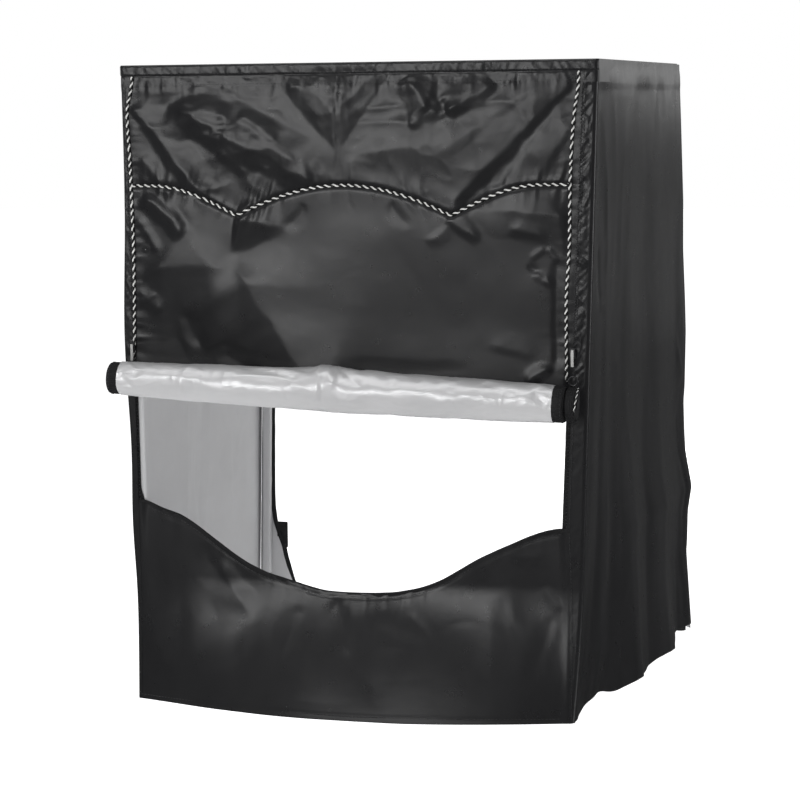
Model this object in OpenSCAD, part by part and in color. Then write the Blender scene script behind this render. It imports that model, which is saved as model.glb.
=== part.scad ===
// Free-standing enclosure tent: a coated cloth cover over a pole frame.
// The front curtain is rolled up, the rear is open between two narrow strips,
// and the bottom is open. Millimetres, +Z up, front towards -Y.
// The origin is on the floor at the middle of the tent.

/* [Cover] */
// Width of the cover at its top edge
cover_w = 566; // [540:1:600]
// Depth of the cover at its top edge
cover_d = 550; // [520:1:590]
// Height of the cover
cover_h = 750; // [720:1:800]
// Thickness of the coated cloth
cloth_t = 1.2; // [0.8:0.1:1.4]
// Height of the casing band sewn round the top edge
hem_h = 26; // [20:1:32]
// How far the lower front panel bellies out at the floor
belly_out = 45; // [20:1:50]
// Height at which the belly and the foot flare start
belly_h = 150; // [120:1:160]
// Width of the strips either side of the open rear
rear_strip_w = 16; // [12:1:22]
// How far the rear strips flare back at the floor
rear_flare = 60; // [30:1:70]

/* [Window] */
// Height of the window sill at the left seam
sill_left_z = 238; // [225:1:250]
// Height of the window sill at the right seam
sill_right_z = 217; // [205:1:230]
// Height of the lowest part of the sill
sill_dip_z = 135; // [115:1:160]
// Height of the edge binding
binding_h = 4; // [3:0.5:6]

/* [Curtain roll] */
// Height of the roll's axis at its left end
roll_left_z = 387; // [375:1:400]
// Height of the roll's axis at its right end
roll_right_z = 365; // [355:1:385]
// Distance from the cover's front to the roll's axis
roll_out = 31; // [30:1:36]
// Radius at the left end of the roll
roll_left_r = 19; // [17:0.5:21]
// Radius at the middle of the roll
roll_mid_r = 25; // [22:0.5:26]
// Radius at the right end of the roll
roll_right_r = 22; // [20:0.5:23]
// Width of the dark edge band at each end of the roll
roll_band_w = 15; // [10:1:20]

/* [Frame] */
// Radius of the frame poles
pole_r = 4; // [3:0.5:4.5]
// Height of the base rails' axes above the floor
base_z = 22; // [18:1:26]
// How far a pole goes into its corner fitting
socket_depth = 22; // [15:1:26]

/* [Trim] */
// Radius of the twisted trim cord
cord_r = 2; // [1.5:0.1:2.2]
// Height of the two points of the scalloped trim
scallop_low_z = 575; // [560:1:590]
// Height of the crests of the scalloped trim
scallop_high_z = 610; // [600:1:625]

/* [Hidden] */

half_w = cover_w / 2;
half_d = cover_d / 2;
gap = 0.4;
floor_gap = 1;
cloth_black = [0.09, 0.09, 0.10];
trim_black = [0.04, 0.04, 0.045];
silver = [0.80, 0.80, 0.82];

// Corner lines of the cover, from the top edge to the floor
left_foot_in = 9;
right_foot_in = 24;
rear_foot_out = 20;
corner_belly_left = 5;
corner_belly_right = 25;

// Pole positions
pole_inset = 8.6;
pole_inset_y = 10;
hub_half = 6.4;
socket_r = 6;
socket_from = 6.1;
socket_len = 30;
socket_clear = 0.05;
pole_top_z = cover_h - cloth_t - hub_half - 0.6;
pole_x = half_w - pole_inset;
pole_y = half_d - pole_inset_y;
left_leg_in = 8.4;
right_leg_in = 30.4;
rear_leg_out = 14.6;
foot_r = 7.5;
foot_h = 12;

// Zip lines, curtain and its travel
zip_in = 5;
zip_top_z = cover_h - hem_h - 1;
zip_end_z = 183;
tape_w = 12;
tape_t = 1;
cord_in = 5.4;
seam_right_x = 245;
seam_right_lean = 22;
seam_foot_out = 8;
roll_left_x = -292;
roll_right_x = 252;
slider_z = 420;
slider_w = 6;
slider_h = 12;
slider_t = 4;
pull_len = 18;
pull_pin_r = 0.7;

// Sides and ends: -1 is left or front, 1 is right or rear
function mix(a, b, t) = a + (b - a) * t;
function clamp01(t) = min(1, max(0, t));
function down(z) = 1 - z / cover_h;
function left_x(z) = -(half_w - left_foot_in * down(z));
function right_x(z) = half_w - right_foot_in * down(z);
function rear_x(side, z) = side * (half_w + rear_foot_out * down(z));
function across(x) = clamp01((x + half_w) / cover_w);
function belly(x) = mix(corner_belly_left, corner_belly_right, across(x)) + belly_out * sin(180 * across(x));
function front_y(x, z) = -half_d - belly(x) * pow(max(0, 1 - z / belly_h), 1.5);
function seam_left(z) = left_x(z) + zip_in;
function seam_right(z) = z > sill_right_z
    ? seam_right_x + seam_right_lean * (z - sill_right_z) / (cover_h - sill_right_z)
    : seam_right_x + seam_foot_out * (1 - z / sill_right_z);

// The sill falls in a half cosine from each seam to its lowest point, steeper near the seams
sill_dip_x = -10;
sill_left_x = -272;
function fall(t) = 0.5 + 0.5 * cos(180 * (1 - pow(1 - clamp01(t), 1.4)));
function sill_z(x) = x < sill_dip_x
    ? sill_dip_z + (sill_left_z - sill_dip_z) * fall((x - sill_left_x) / (sill_dip_x - sill_left_x))
    : sill_dip_z + (sill_right_z - sill_dip_z) * fall((seam_right_x - x) / (seam_right_x - sill_dip_x));

// A closed sheet: surface f(u, v) on a grid, thickened by the vector off
module sheet(nu, nv, f, off) {
    n = (nu + 1) * (nv + 1);
    outer = [for (j = [0 : nv]) for (i = [0 : nu]) f(i / nu, j / nv)];
    inner = [for (p = outer) p + off];
    function id(i, j) = j * (nu + 1) + i;
    faces_out = [for (j = [0 : nv - 1]) for (i = [0 : nu - 1])
        each [[id(i, j), id(i + 1, j + 1), id(i + 1, j)], [id(i, j), id(i, j + 1), id(i + 1, j + 1)]]];
    faces_in = [for (t = faces_out) [t[0] + n, t[2] + n, t[1] + n]];
    rim = concat([for (i = [0 : nu - 1]) id(i, 0)], [for (j = [0 : nv - 1]) id(nu, j)],
        [for (i = [nu : -1 : 1]) id(i, nv)], [for (j = [nv : -1 : 1]) id(0, j)]);
    walls = [for (k = [0 : len(rim) - 1]) let (a = rim[k], b = rim[(k + 1) % len(rim)])
        each [[a, b, b + n], [a, b + n, a + n]]];
    polyhedron(concat(outer, inner), concat(faces_out, faces_in, walls));
}

// A round bar from a to b
module bar(a, b, r) {
    d = b - a;
    translate(a)
        rotate([0, acos(d[2] / norm(d)), atan2(d[1], d[0])])
            cylinder(r = r, h = norm(d), $fn = 48);
}

// ---- pole frame ----

function hub_at(sx, sy, top) = top
    ? [sx * pole_x, sy * pole_y, pole_top_z]
    : [sx * pole_x + (sy > 0 ? sx * rear_leg_out : sx < 0 ? left_leg_in : -right_leg_in), sy * pole_y, base_z];
function unit(v) = v / norm(v);
function shift(a, b, s) = a + unit(b - a) * s;
rod_start = socket_len - socket_depth;

module pole(a, b) {
    color("dimgray")
        bar(shift(a, b, rod_start), shift(b, a, rod_start), pole_r);
}

// A corner fitting: a square block with one socket towards each of its three neighbours
module corner(sx, sy, top) {
    c = hub_at(sx, sy, top);
    ends = [hub_at(-sx, sy, top), hub_at(sx, -sy, top), hub_at(sx, sy, !top)];
    color(trim_black)
        difference() {
            union() {
                translate(c)
                    cube(2 * hub_half, center = true);
                for (e = ends)
                    bar(shift(c, e, socket_from), shift(c, e, socket_len), socket_r);
                if (!top)
                    translate([c[0], c[1], foot_h - 6])
                        cylinder(r = pole_r, h = base_z - foot_h + 6 - socket_from, $fn = 48);
            }
            for (e = ends)
                bar(shift(c, e, rod_start), shift(c, e, socket_len + 1), pole_r + socket_clear);
        }
}

// Cup-shaped rubber foot under each base fitting
module leg_feet() {
    color("black")
        for (sx = [-1, 1], sy = [-1, 1]) {
            c = hub_at(sx, sy, false);
            translate([c[0], c[1], 0])
                difference() {
                    cylinder(r = foot_r, h = foot_h, $fn = 48);
                    translate([0, 0, foot_h - 6])
                        cylinder(r = pole_r + socket_clear, h = 7, $fn = 48);
                }
        }
}

// Cloth tube that holds a leg inside the cover
module sleeve(sx, sy) {
    a = hub_at(sx, sy, false);
    b = hub_at(sx, sy, true);
    len = norm(b - a);
    margin = socket_len + 6;
    color(silver)
        difference() {
            bar(shift(a, b, margin), shift(b, a, margin), pole_r + 1.4);
            bar(shift(a, b, margin - 1), shift(b, a, margin - 1), pole_r + 0.6);
        }
}

// ---- cover ----

module roof_panel() {
    color(cloth_black)
        translate([-half_w, -half_d, cover_h - cloth_t])
            cube([cover_w, cover_d, cloth_t]);
}

// Casing band outside the top edge, on all four sides
module top_hem() {
    w = cover_w + 2.4;
    d = cover_d + 2.4;
    color(cloth_black)
        translate([0, 0, cover_h - hem_h])
            linear_extrude(hem_h - 0.5)
                difference() {
                    square([w + 2, d + 2], center = true);
                    square([w, d], center = true);
                }
}

side_top_z = cover_h - cloth_t - gap;
wave_right = 9;
wave_left = 4;
wave_len = 190;
hem_lift = 14;
lift_y = -165;
lift_w = 50;

// Side wall surface: straight corners, and a slack wave that grows towards the floor
function side_edge_z(side, y) = floor_gap + (side > 0 ? hem_lift * exp(-pow((y - lift_y) / lift_w, 2)) : 0);
function side_pt(side, u, v) =
    let (y0 = mix(-half_d, half_d, u), z = mix(side_edge_z(side, y0), side_top_z, v))
    let (xf = side < 0 ? left_x(z) : right_x(z), yf = front_y(xf, z))
    let (slack = sin(180 * u) * pow(down(z), 1.5), wave = (side < 0 ? wave_left : wave_right) * sin(360 * (y0 + 110) / wave_len))
    [mix(xf, rear_x(side, z), u) + side * wave * slack, mix(yf, half_d, u), z];

module side_panel(side) {
    color(cloth_black)
        sheet(24, 14, function (u, v) side > 0 ? side_pt(side, u, v) : side_pt(side, 1 - u, v),
            [-side * cloth_t, 0, 0]);
}

// Narrow strip of cover between a front corner and the curtain's zip
module front_border(side) {
    function x_at(u, z) = side < 0
        ? mix(left_x(z) + cloth_t + gap, seam_left(z) - gap, u)
        : mix(seam_right(z) + gap, right_x(z) - cloth_t - gap, u);
    color(cloth_black)
        sheet(1, 18, function (u, v)
            let (z = mix(floor_gap, side_top_z, v), x = x_at(u, z)) [x, front_y(x, z), z],
            [0, cloth_t, 0]);
}

// Point of the cloth between the two seams
function panel_pt(u, z) =
    let (x = mix(seam_left(z) + gap, seam_right(z) - gap, u))
    [x, front_y(x, z), z];

function sill_at(u) = sill_z(mix(seam_left(sill_dip_z), seam_right(sill_dip_z), u));

module lower_front_panel() {
    color(cloth_black)
        sheet(36, 10, function (u, v)
            panel_pt(u, mix(floor_gap, sill_at(u), v)), [0, cloth_t, 0]);
}

// Bound edge along the window sill
module window_binding() {
    color(trim_black)
        sheet(36, 1, function (u, v)
            panel_pt(u, sill_at(u) + 0.2 + binding_h * v) - [0, 0.6, 0], [0, cloth_t + 1.2, 0]);
}

// Strip along each rear edge, flared back at its foot
strip_flare_h = 90;
function strip_foot(z) = pow(max(0, 1 - z / strip_flare_h), 1.5);
function strip_w(z) = rear_strip_w + 4 * down(z) + 14 * strip_foot(z);
function strip_pt(side, s, z) =
    [rear_x(side, z) - side * (cloth_t + gap + (strip_w(z) - cloth_t - gap) * s),
        half_d + rear_flare * strip_foot(z) * s, z];

module rear_strip(side) {
    color(cloth_black)
        sheet(2, 18, function (u, v)
            strip_pt(side, side > 0 ? 1 - u : u, mix(floor_gap, side_top_z, 1 - v)), [0, -cloth_t, 0]);
}

module rear_binding(side) {
    color(trim_black)
        sheet(1, 18, function (u, v)
            let (z = mix(floor_gap, side_top_z, 1 - v), e = strip_pt(side, 1, z), k = side > 0 ? 1 - u : u)
            e + [-side * (0.3 + 4 * k), 0.6, 0], [0, -cloth_t - 1, 0]);
}

// ---- curtain, zips and trim ----

curtain_low_left = roll_left_z - 2;
curtain_low_right = roll_right_z - 2;

module curtain_panel() {
    color(cloth_black)
        translate([0, -half_d + cloth_t, 0])
            rotate([90, 0, 0])
                linear_extrude(cloth_t)
                    polygon([
                        [seam_left(curtain_low_left) + gap, curtain_low_left],
                        [seam_right(curtain_low_right) - gap, curtain_low_right],
                        [seam_right(side_top_z) - gap, side_top_z],
                        [seam_left(side_top_z) + gap, side_top_z]]);
}

// Tape behind a zip line, with its row of teeth standing in the gap; the left one is narrower
// on the side of the corner
tape_left_edge = 3.2;
module zip_tape(side) {
    function line(z) = side < 0 ? seam_left(z) : seam_right(z);
    function low_x(z) = line(z) - (side < 0 ? tape_left_edge : tape_w / 2);
    color(trim_black)
        translate([0, -half_d + cloth_t + 0.9 + tape_t, 0])
            rotate([90, 0, 0])
                linear_extrude(tape_t)
                    polygon([
                        [low_x(zip_end_z), zip_end_z],
                        [line(zip_end_z) + tape_w / 2, zip_end_z],
                        [line(sill_right_z) + tape_w / 2, sill_right_z],
                        [line(zip_top_z) + tape_w / 2, zip_top_z],
                        [low_x(zip_top_z), zip_top_z],
                        [low_x(sill_right_z), sill_right_z]]);
}

cord_y = -half_d - cord_r - 0.3;
cord_top_z = cover_h - hem_h - 4;
cord_low_z = roll_left_z + 22;

module side_cord(side) {
    function x_at(z) = side < 0 ? seam_left(z) + cord_in : seam_right(z) - cord_in;
    color("silver")
        bar([x_at(cord_low_z), cord_y, cord_low_z], [x_at(cord_top_z), cord_y, cord_top_z], cord_r);
}

// Scalloped line: a level start, a point, one full arch, a point, a level end
scallop_left_x = -143;
scallop_right_x = 113;
scallop_ends = [seam_left(scallop_high_z) + cord_in + 2 * cord_r + 0.4,
    seam_right(scallop_high_z) - cord_in - 2 * cord_r - 0.4];
function scallop_z(x) =
    let (rise = scallop_high_z - scallop_low_z)
    x < scallop_left_x ? scallop_low_z + rise * sin(90 * clamp01((scallop_left_x - x) / 90)) :
    x > scallop_right_x ? scallop_low_z + rise * sin(90 * clamp01((x - scallop_right_x) / 90)) :
    scallop_low_z + rise * sin(180 * (x - scallop_left_x) / (scallop_right_x - scallop_left_x));

module scallop_trim_cord() {
    sides = 8;
    rings = 48;
    turn = 360 / sides;
    xs = [for (k = [0 : rings]) mix(scallop_ends[0], scallop_ends[1], k / rings)];
    pts = [for (x = xs) for (s = [0 : sides - 1])
        [x, cord_y + cord_r * cos(turn * s), scallop_z(x) + cord_r * sin(turn * s)]];
    skin = [for (k = [0 : rings - 1]) for (s = [0 : sides - 1])
        let (a = k * sides + s, b = k * sides + (s + 1) % sides)
        each [[a, b, b + sides], [a, b + sides, a + sides]]];
    cap_a = [for (s = [1 : sides - 2]) [0, s + 1, s]];
    last = rings * sides;
    cap_b = [for (s = [1 : sides - 2]) [last, last + s, last + s + 1]];
    color("silver")
        polyhedron(pts, concat(skin, cap_a, cap_b));
}

// ---- roll ----

roll_y = -half_d - roll_out;
roll_a = [roll_left_x, roll_y, roll_left_z];
roll_b = [roll_right_x, roll_y, roll_right_z];
roll_len = norm(roll_b - roll_a);
roll_tilt = asin((roll_left_z - roll_right_z) / roll_len);
rod_r = 5;
loop_w = 10;
stub_len = loop_w + 2;
stub_r = 18;

module on_roll(s) {
    translate(roll_a)
        rotate([0, 90 + roll_tilt, 0])
            translate([0, 0, s])
                children();
}

// Curtain cloth wound on its rod: a swelling in the middle and a stub under the hold loop
module curtain_roll() {
    b = roll_band_w;
    color(silver)
        on_roll(0)
            rotate_extrude($fn = 72)
                polygon([[rod_r + 0.05, 0], [roll_left_r - 1.5, 0], [roll_left_r - 1.5, b], [roll_left_r, b],
                    [mix(roll_left_r, roll_mid_r, 0.6), roll_len * 0.25], [roll_mid_r, roll_len * 0.5],
                    [mix(roll_mid_r, roll_right_r, 0.4), roll_len * 0.75], [roll_right_r, roll_len - b],
                    [roll_right_r - 1.5, roll_len - b], [roll_right_r - 1.5, roll_len],
                    [stub_r, roll_len], [stub_r, roll_len + stub_len], [rod_r + 0.05, roll_len + stub_len]]);
}

module roll_rod() {
    color("dimgray")
        on_roll(-0.5)
            cylinder(r = rod_r, h = roll_len + stub_len + 1, $fn = 48);
}

module roll_band(s, inner_r) {
    color(trim_black)
        on_roll(s)
            difference() {
                cylinder(r = inner_r + 1.5, h = roll_band_w - 0.2, $fn = 72);
                translate([0, 0, -1])
                    cylinder(r = inner_r + 0.05, h = roll_band_w + 2, $fn = 72);
            }
}

// Webbing loop that grips the right end of the roll, and its ring
module hold_loop() {
    color(trim_black)
        on_roll(roll_len + 1)
            difference() {
                cylinder(r = stub_r + 2, h = loop_w, $fn = 72);
                translate([0, 0, -1])
                    cylinder(r = stub_r + 0.4, h = loop_w + 2, $fn = 72);
            }
}

ring_r = 5;
ring_wire_r = 1.1;

module hold_ring() {
    color("black")
        translate([roll_right_x + 7, roll_y, roll_right_z + stub_r + ring_r + ring_wire_r + 2.2])
            rotate([90, 0, 0])
                rotate_extrude($fn = 48)
                    translate([ring_r, 0])
                        circle(r = ring_wire_r, $fn = 24);
}

// ---- zip sliders ----

slider_y = -half_d - 0.4;

function slider_at(side) = [side < 0 ? seam_left(slider_z) : seam_right(slider_z), slider_y, slider_z];

module zip_slider(side) {
    c = slider_at(side);
    pin_z = slider_h / 2 - 3;
    color("lightgray")
        translate(c)
            difference() {
                union() {
                    translate([-slider_w / 2, -slider_t, -slider_h / 2])
                        cube([slider_w, slider_t, slider_h]);
                    for (k = [-1, 1])
                        translate([k * 2.4 - 0.6, -slider_t - 3, pin_z - 2])
                            cube([1.2, 3, 4]);
                    translate([-2.4, -slider_t - 1.6, pin_z])
                        rotate([0, 90, 0])
                            cylinder(r = pull_pin_r, h = 4.8, $fn = 32);
                }
            }
}

// Flat pull hanging from the slider's cross pin
module zip_pull(side) {
    c = slider_at(side) + [0, -slider_t - 1.6, slider_h / 2 - 3];
    color("white")
        translate(c)
            difference() {
                union() {
                    rotate([0, 90, 0])
                        translate([0, 0, -1.5])
                            cylinder(r = 1.4, h = 3, $fn = 32);
                    translate([-1.5, -1.4, -pull_len])
                        cube([3, 1.2, pull_len]);
                }
                rotate([0, 90, 0])
                    translate([0, 0, -3])
                        cylinder(r = pull_pin_r + 0.06, h = 6, $fn = 32);
            }
}

// ---- rear tabs ----

tab_low_z = 92;
tab_h = 36;
tab_w = 15;

module rear_tab(side) {
    z = tab_low_z + tab_h / 2;
    e = strip_pt(side, 1, z);
    x0 = e[0] - side * 5.6;
    color(trim_black)
        translate([side > 0 ? x0 - tab_w : x0, half_d - cloth_t / 2 - 0.8, tab_low_z])
            cube([tab_w, 1.6, tab_h]);
}

pole(hub_at(-1, -1, false), hub_at(-1, -1, true));  // front_left_leg
pole(hub_at(1, -1, false), hub_at(1, -1, true));  // front_right_leg
pole(hub_at(-1, 1, false), hub_at(-1, 1, true));  // rear_left_leg
pole(hub_at(1, 1, false), hub_at(1, 1, true));  // rear_right_leg
pole(hub_at(-1, -1, true), hub_at(1, -1, true));  // top_front_rail
pole(hub_at(-1, 1, true), hub_at(1, 1, true));  // top_rear_rail
pole(hub_at(-1, -1, true), hub_at(-1, 1, true));  // top_left_rail
pole(hub_at(1, -1, true), hub_at(1, 1, true));  // top_right_rail
pole(hub_at(-1, -1, false), hub_at(1, -1, false));  // base_front_rail
pole(hub_at(-1, 1, false), hub_at(1, 1, false));  // base_rear_rail
pole(hub_at(-1, -1, false), hub_at(-1, 1, false));  // base_left_rail
pole(hub_at(1, -1, false), hub_at(1, 1, false));  // base_right_rail
corner(-1, -1, true);  // top_front_left_corner
corner(1, -1, true);  // top_front_right_corner
corner(-1, 1, true);  // top_rear_left_corner
corner(1, 1, true);  // top_rear_right_corner
corner(-1, -1, false);  // base_front_left_corner
corner(1, -1, false);  // base_front_right_corner
corner(-1, 1, false);  // base_rear_left_corner
corner(1, 1, false);  // base_rear_right_corner
leg_feet();
sleeve(-1, -1);  // front_left_sleeve
sleeve(1, -1);  // front_right_sleeve
sleeve(-1, 1);  // rear_left_sleeve
sleeve(1, 1);  // rear_right_sleeve
roof_panel();
side_panel(-1);  // left_side_panel
side_panel(1);  // right_side_panel
top_hem();
front_border(-1);  // front_left_border
front_border(1);  // front_right_border
lower_front_panel();
window_binding();
curtain_panel();
zip_tape(-1);  // left_zip_tape
zip_tape(1);  // right_zip_tape
rear_strip(-1);  // rear_left_strip
rear_strip(1);  // rear_right_strip
rear_binding(-1);  // rear_left_binding
rear_binding(1);  // rear_right_binding
side_cord(-1);  // left_trim_cord
side_cord(1);  // right_trim_cord
scallop_trim_cord();
curtain_roll();
roll_rod();
roll_band(0, roll_left_r - 1.5);  // left_roll_band
roll_band(roll_len - roll_band_w + 0.2, roll_right_r - 1.5);  // right_roll_band
hold_loop();
hold_ring();
zip_slider(-1);  // left_zip_slider
zip_slider(1);  // right_zip_slider
zip_pull(-1);  // left_zip_pull
zip_pull(1);  // right_zip_pull
rear_tab(-1);  // rear_left_tab
rear_tab(1);  // rear_right_tab
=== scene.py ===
"""Looks for the enclosure tent: coated cloth, twisted cord, webbing, stitches and coated poles.

Shapes are worked out in millimetres in the frame's own axes and made in metres.
"""
import math

import bmesh
import bpy
import numpy as np
from mathutils import Matrix, Vector


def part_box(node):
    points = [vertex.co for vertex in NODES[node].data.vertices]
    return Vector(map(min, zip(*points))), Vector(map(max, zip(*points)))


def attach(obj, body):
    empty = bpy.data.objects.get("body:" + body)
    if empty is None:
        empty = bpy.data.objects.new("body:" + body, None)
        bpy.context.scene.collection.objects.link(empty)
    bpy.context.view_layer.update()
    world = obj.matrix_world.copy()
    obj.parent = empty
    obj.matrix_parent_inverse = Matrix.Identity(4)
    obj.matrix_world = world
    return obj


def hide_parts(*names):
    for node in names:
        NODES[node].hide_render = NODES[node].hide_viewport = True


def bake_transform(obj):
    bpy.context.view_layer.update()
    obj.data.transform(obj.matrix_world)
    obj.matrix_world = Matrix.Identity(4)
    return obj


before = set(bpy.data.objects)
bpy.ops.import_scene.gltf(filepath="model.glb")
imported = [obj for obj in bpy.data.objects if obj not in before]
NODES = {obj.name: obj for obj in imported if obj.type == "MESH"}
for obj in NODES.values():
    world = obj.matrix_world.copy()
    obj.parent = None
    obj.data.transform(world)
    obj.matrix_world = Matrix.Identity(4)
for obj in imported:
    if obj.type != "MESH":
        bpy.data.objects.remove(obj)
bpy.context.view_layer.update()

MM = 0.001
SCENE = bpy.context.scene

# ---- the tent's own dimensions, as in the CAD source ----

HALF_W, HALF_D, HEIGHT = 283.0, 275.0, 750.0
BELLY_H = 150.0
BELLY_OUT = 60.0  # 15 more than in the CAD, as the slack cloth swells past it at the floor
SILL_LEFT, SILL_RIGHT, SILL_DIP, DIP_X, SILL_LEFT_X = 238.0, 217.0, 135.0, -10.0, -272.0
ROLL_A = np.array([-292.0, -306.0, 387.0])
ROLL_B = np.array([252.0, -306.0, 365.0])
ROLL_LEN = float(np.linalg.norm(ROLL_B - ROLL_A))
ROLL_AXIS = (ROLL_B - ROLL_A) / ROLL_LEN
SCALLOP_LOW, SCALLOP_HIGH, SCALLOP_L, SCALLOP_R = 575.0, 610.0, -143.0, 113.0
DROP = 223.0
FLOOR_GAP = 1.2     # between the floor and the lowest edges of the cloth
CURTAIN_Y = -HALF_D - 0.6
ROD_HOLE = 5.2      # radius of the hole for the rod in the roll's end pieces
SIDES = ((-1, "left"), (1, "right"))
ROLL_END = 14.0     # length of the roll's cloth that each end band covers
ROLL_ROUND = 24.0   # radius at which the roll's folds are laid out


def clamp01(t):
    return np.clip(t, 0, 1)


def step(t):
    t = clamp01(t)
    return t * t * (3 - 2 * t)


def hill(t, at, wide):
    return np.exp(-((t - at) / wide) ** 2)


def held(t, start, end):
    """1 in the middle, and 0 at both ends of t from 0 to 1, over the lengths start and end."""
    return step(t / start) * step((1 - t) / end)


def down(z):
    return 1 - z / HEIGHT


def left_x(z):
    return -(HALF_W - 9 * down(z))


def right_x(z):
    return HALF_W - 24 * down(z)


def front_y(x, z):
    u = clamp01((x + HALF_W) / (2 * HALF_W))
    belly = 5 + 20 * u + BELLY_OUT * np.sin(np.pi * u)
    return -HALF_D - belly * np.maximum(0, 1 - z / BELLY_H) ** 1.5


def seam_left(z):
    return left_x(z) + 5


def seam_right(z):
    return np.where(z > SILL_RIGHT, 245 + 22 * (z - SILL_RIGHT) / (HEIGHT - SILL_RIGHT),
                    245 + 8 * (1 - z / SILL_RIGHT))


def seam_x(side, z):
    return seam_left(z) if side < 0 else seam_right(z)


def fall(t):
    return 0.5 + 0.5 * np.cos(np.pi * (1 - (1 - clamp01(t)) ** 1.4))


def sill_z(x):
    """The CAD's sill curve, drawn a little straighter where the soft edge hangs slack."""
    z = np.where(
        x < DIP_X,
        SILL_DIP + (SILL_LEFT - SILL_DIP) * fall((x - SILL_LEFT_X) / (DIP_X - SILL_LEFT_X)),
        SILL_DIP + (SILL_RIGHT - SILL_DIP) * fall((245 - x) / (245 - DIP_X)))
    slack = 4.5 * hill(x, -85, 34) + 5.5 * hill(x, 138, 36)
    return z + slack - 5 * hill(x, -243, 20)


def scallop_z(x):
    rise = SCALLOP_HIGH - SCALLOP_LOW
    left = SCALLOP_LOW + rise * np.sin(np.pi / 2 * clamp01((SCALLOP_L - x) / 105))
    right = SCALLOP_LOW + rise * np.sin(np.pi / 2 * clamp01((x - SCALLOP_R) / 105))
    span = clamp01((x - SCALLOP_L) / (SCALLOP_R - SCALLOP_L))
    middle = SCALLOP_LOW + rise * np.sin(np.pi * span) ** 0.92
    return np.where(x < SCALLOP_L, left, np.where(x > SCALLOP_R, right, middle))


# ---- noise and folds ----

def lattice(ix, iy, seed):
    h = (ix * 374761393 + iy * 668265263 + seed * 974711) & 0xFFFFFFFF
    h = ((h ^ (h >> 13)) * 1274126177) & 0xFFFFFFFF
    return ((h ^ (h >> 16)) & 0xFFFF) / 32767.5 - 1


def noise(x, y, seed=0):
    """Smooth noise from -1 to 1, one lattice cell a unit wide."""
    x, y = np.broadcast_arrays(np.asarray(x, float), np.asarray(y, float))
    ix, iy = np.floor(x).astype(np.int64), np.floor(y).astype(np.int64)
    fx, fy = x - ix, y - iy
    fx = fx ** 3 * (fx * (fx * 6 - 15) + 10)
    fy = fy ** 3 * (fy * (fy * 6 - 15) + 10)
    low = lattice(ix, iy, seed) * (1 - fx) + lattice(ix + 1, iy, seed) * fx
    high = lattice(ix, iy + 1, seed) * (1 - fx) + lattice(ix + 1, iy + 1, seed) * fx
    return low * (1 - fy) + high * fy


def crumple(x, y, size, seed):
    """Creased cloth: sharp ridges between smooth facets, from 0 to 1."""
    wx = x + 0.6 * size * noise(x / size / 1.7, y / size / 1.7, seed + 50)
    wy = y + 0.6 * size * noise(x / size / 1.7 + 9, y / size / 1.7, seed + 51)
    return 1 - np.abs(noise(wx / size, wy / size, seed))


def ramp(x, s):
    return 0.5 * (x + np.sqrt(x * x + s * s))


def fold(x, z, a, b, w0, w1, tilt, back, fade, soft):
    """A band beside the line from a to b that leans by tilt degrees.

    The band is to the left of the line, w0 wide at a and w1 wide at b; a negative tilt leans back.
    The cloth comes back to its level over back mm before the line, or beyond the band if back is negative."""
    a, b = np.array(a, float), np.array(b, float)
    length = np.hypot(*(b - a))
    ux, uz = (b - a) / length
    t = (x - a[0]) * ux + (z - a[1]) * uz
    d = -(x - a[0]) * uz + (z - a[1]) * ux
    wide = np.minimum(1.4, (w0 + w1) / 20)
    wander = (2.6 * noise(t / 36, a[0] / 7, 77) + 1.1 * noise(t / 13, a[1] / 7, 78)) * wide
    d = d + wander * np.exp(-np.maximum(-d, 0) / 7)
    mean = w0 + (w1 - w0) * clamp01(t / length)
    w = mean * (1 + 0.28 * noise(t / 22, b[0] / 7, 79))
    rise = -(ramp(d, soft) - ramp(d - w, soft)) / w
    if back > 0:
        rise += (ramp(d + back, soft) - ramp(d, soft)) / back
        far = 0.8 * np.maximum(-d, 0)
    else:
        rise -= (ramp(d - w, soft) - ramp(d - w + back, soft)) / back
        far = 0.4 * np.maximum(d - w, 0)
    envelope = step(t / (fade[0] + far)) * step((length - t) / (fade[1] + far))
    return mean * math.tan(math.radians(tilt)) * rise * envelope


def folded(x, z, table, soft):
    """All the folds of a table, whose rows are a, b, width at a, width at b, tilt, back and fade."""
    h = np.zeros_like(x)
    for row in table:
        h += fold(x, z, *row, soft)
    return h


# ---- materials ----

def feed(nt, n, inputs):
    """Sets a node's inputs: a socket is linked, anything else is a constant."""
    for name, value in inputs.items():
        if isinstance(value, bpy.types.NodeSocket):
            nt.links.new(value, n.inputs[name])
        else:
            n.inputs[name].default_value = value
    return n


def add(nt, kind, inputs):
    return feed(nt, nt.nodes.new(kind), inputs)


def cloud(nt, coord, scale, detail=2.0, rough=0.5, stretch=None):
    if stretch is not None:
        coord = add(nt, "ShaderNodeMapping", {"Scale": stretch, "Vector": coord}).outputs["Vector"]
    inputs = {"Scale": scale, "Detail": detail, "Roughness": rough, "Vector": coord}
    return add(nt, "ShaderNodeTexNoise", inputs).outputs["Fac"]


def remap(nt, value, low, high):
    inputs = {"From Min": 0.3, "From Max": 0.7, "To Min": low, "To Max": high, "Value": value}
    return add(nt, "ShaderNodeMapRange", inputs).outputs["Result"]


def colour_ramp(nt, value, dark, light, at=(0.3, 0.7)):
    r = add(nt, "ShaderNodeValToRGB", {"Fac": value})
    for end, place, colour in zip(r.color_ramp.elements, at, (dark, light)):
        end.position = place
        end.color = (*colour, 1)
    return r.outputs["Color"]


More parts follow.
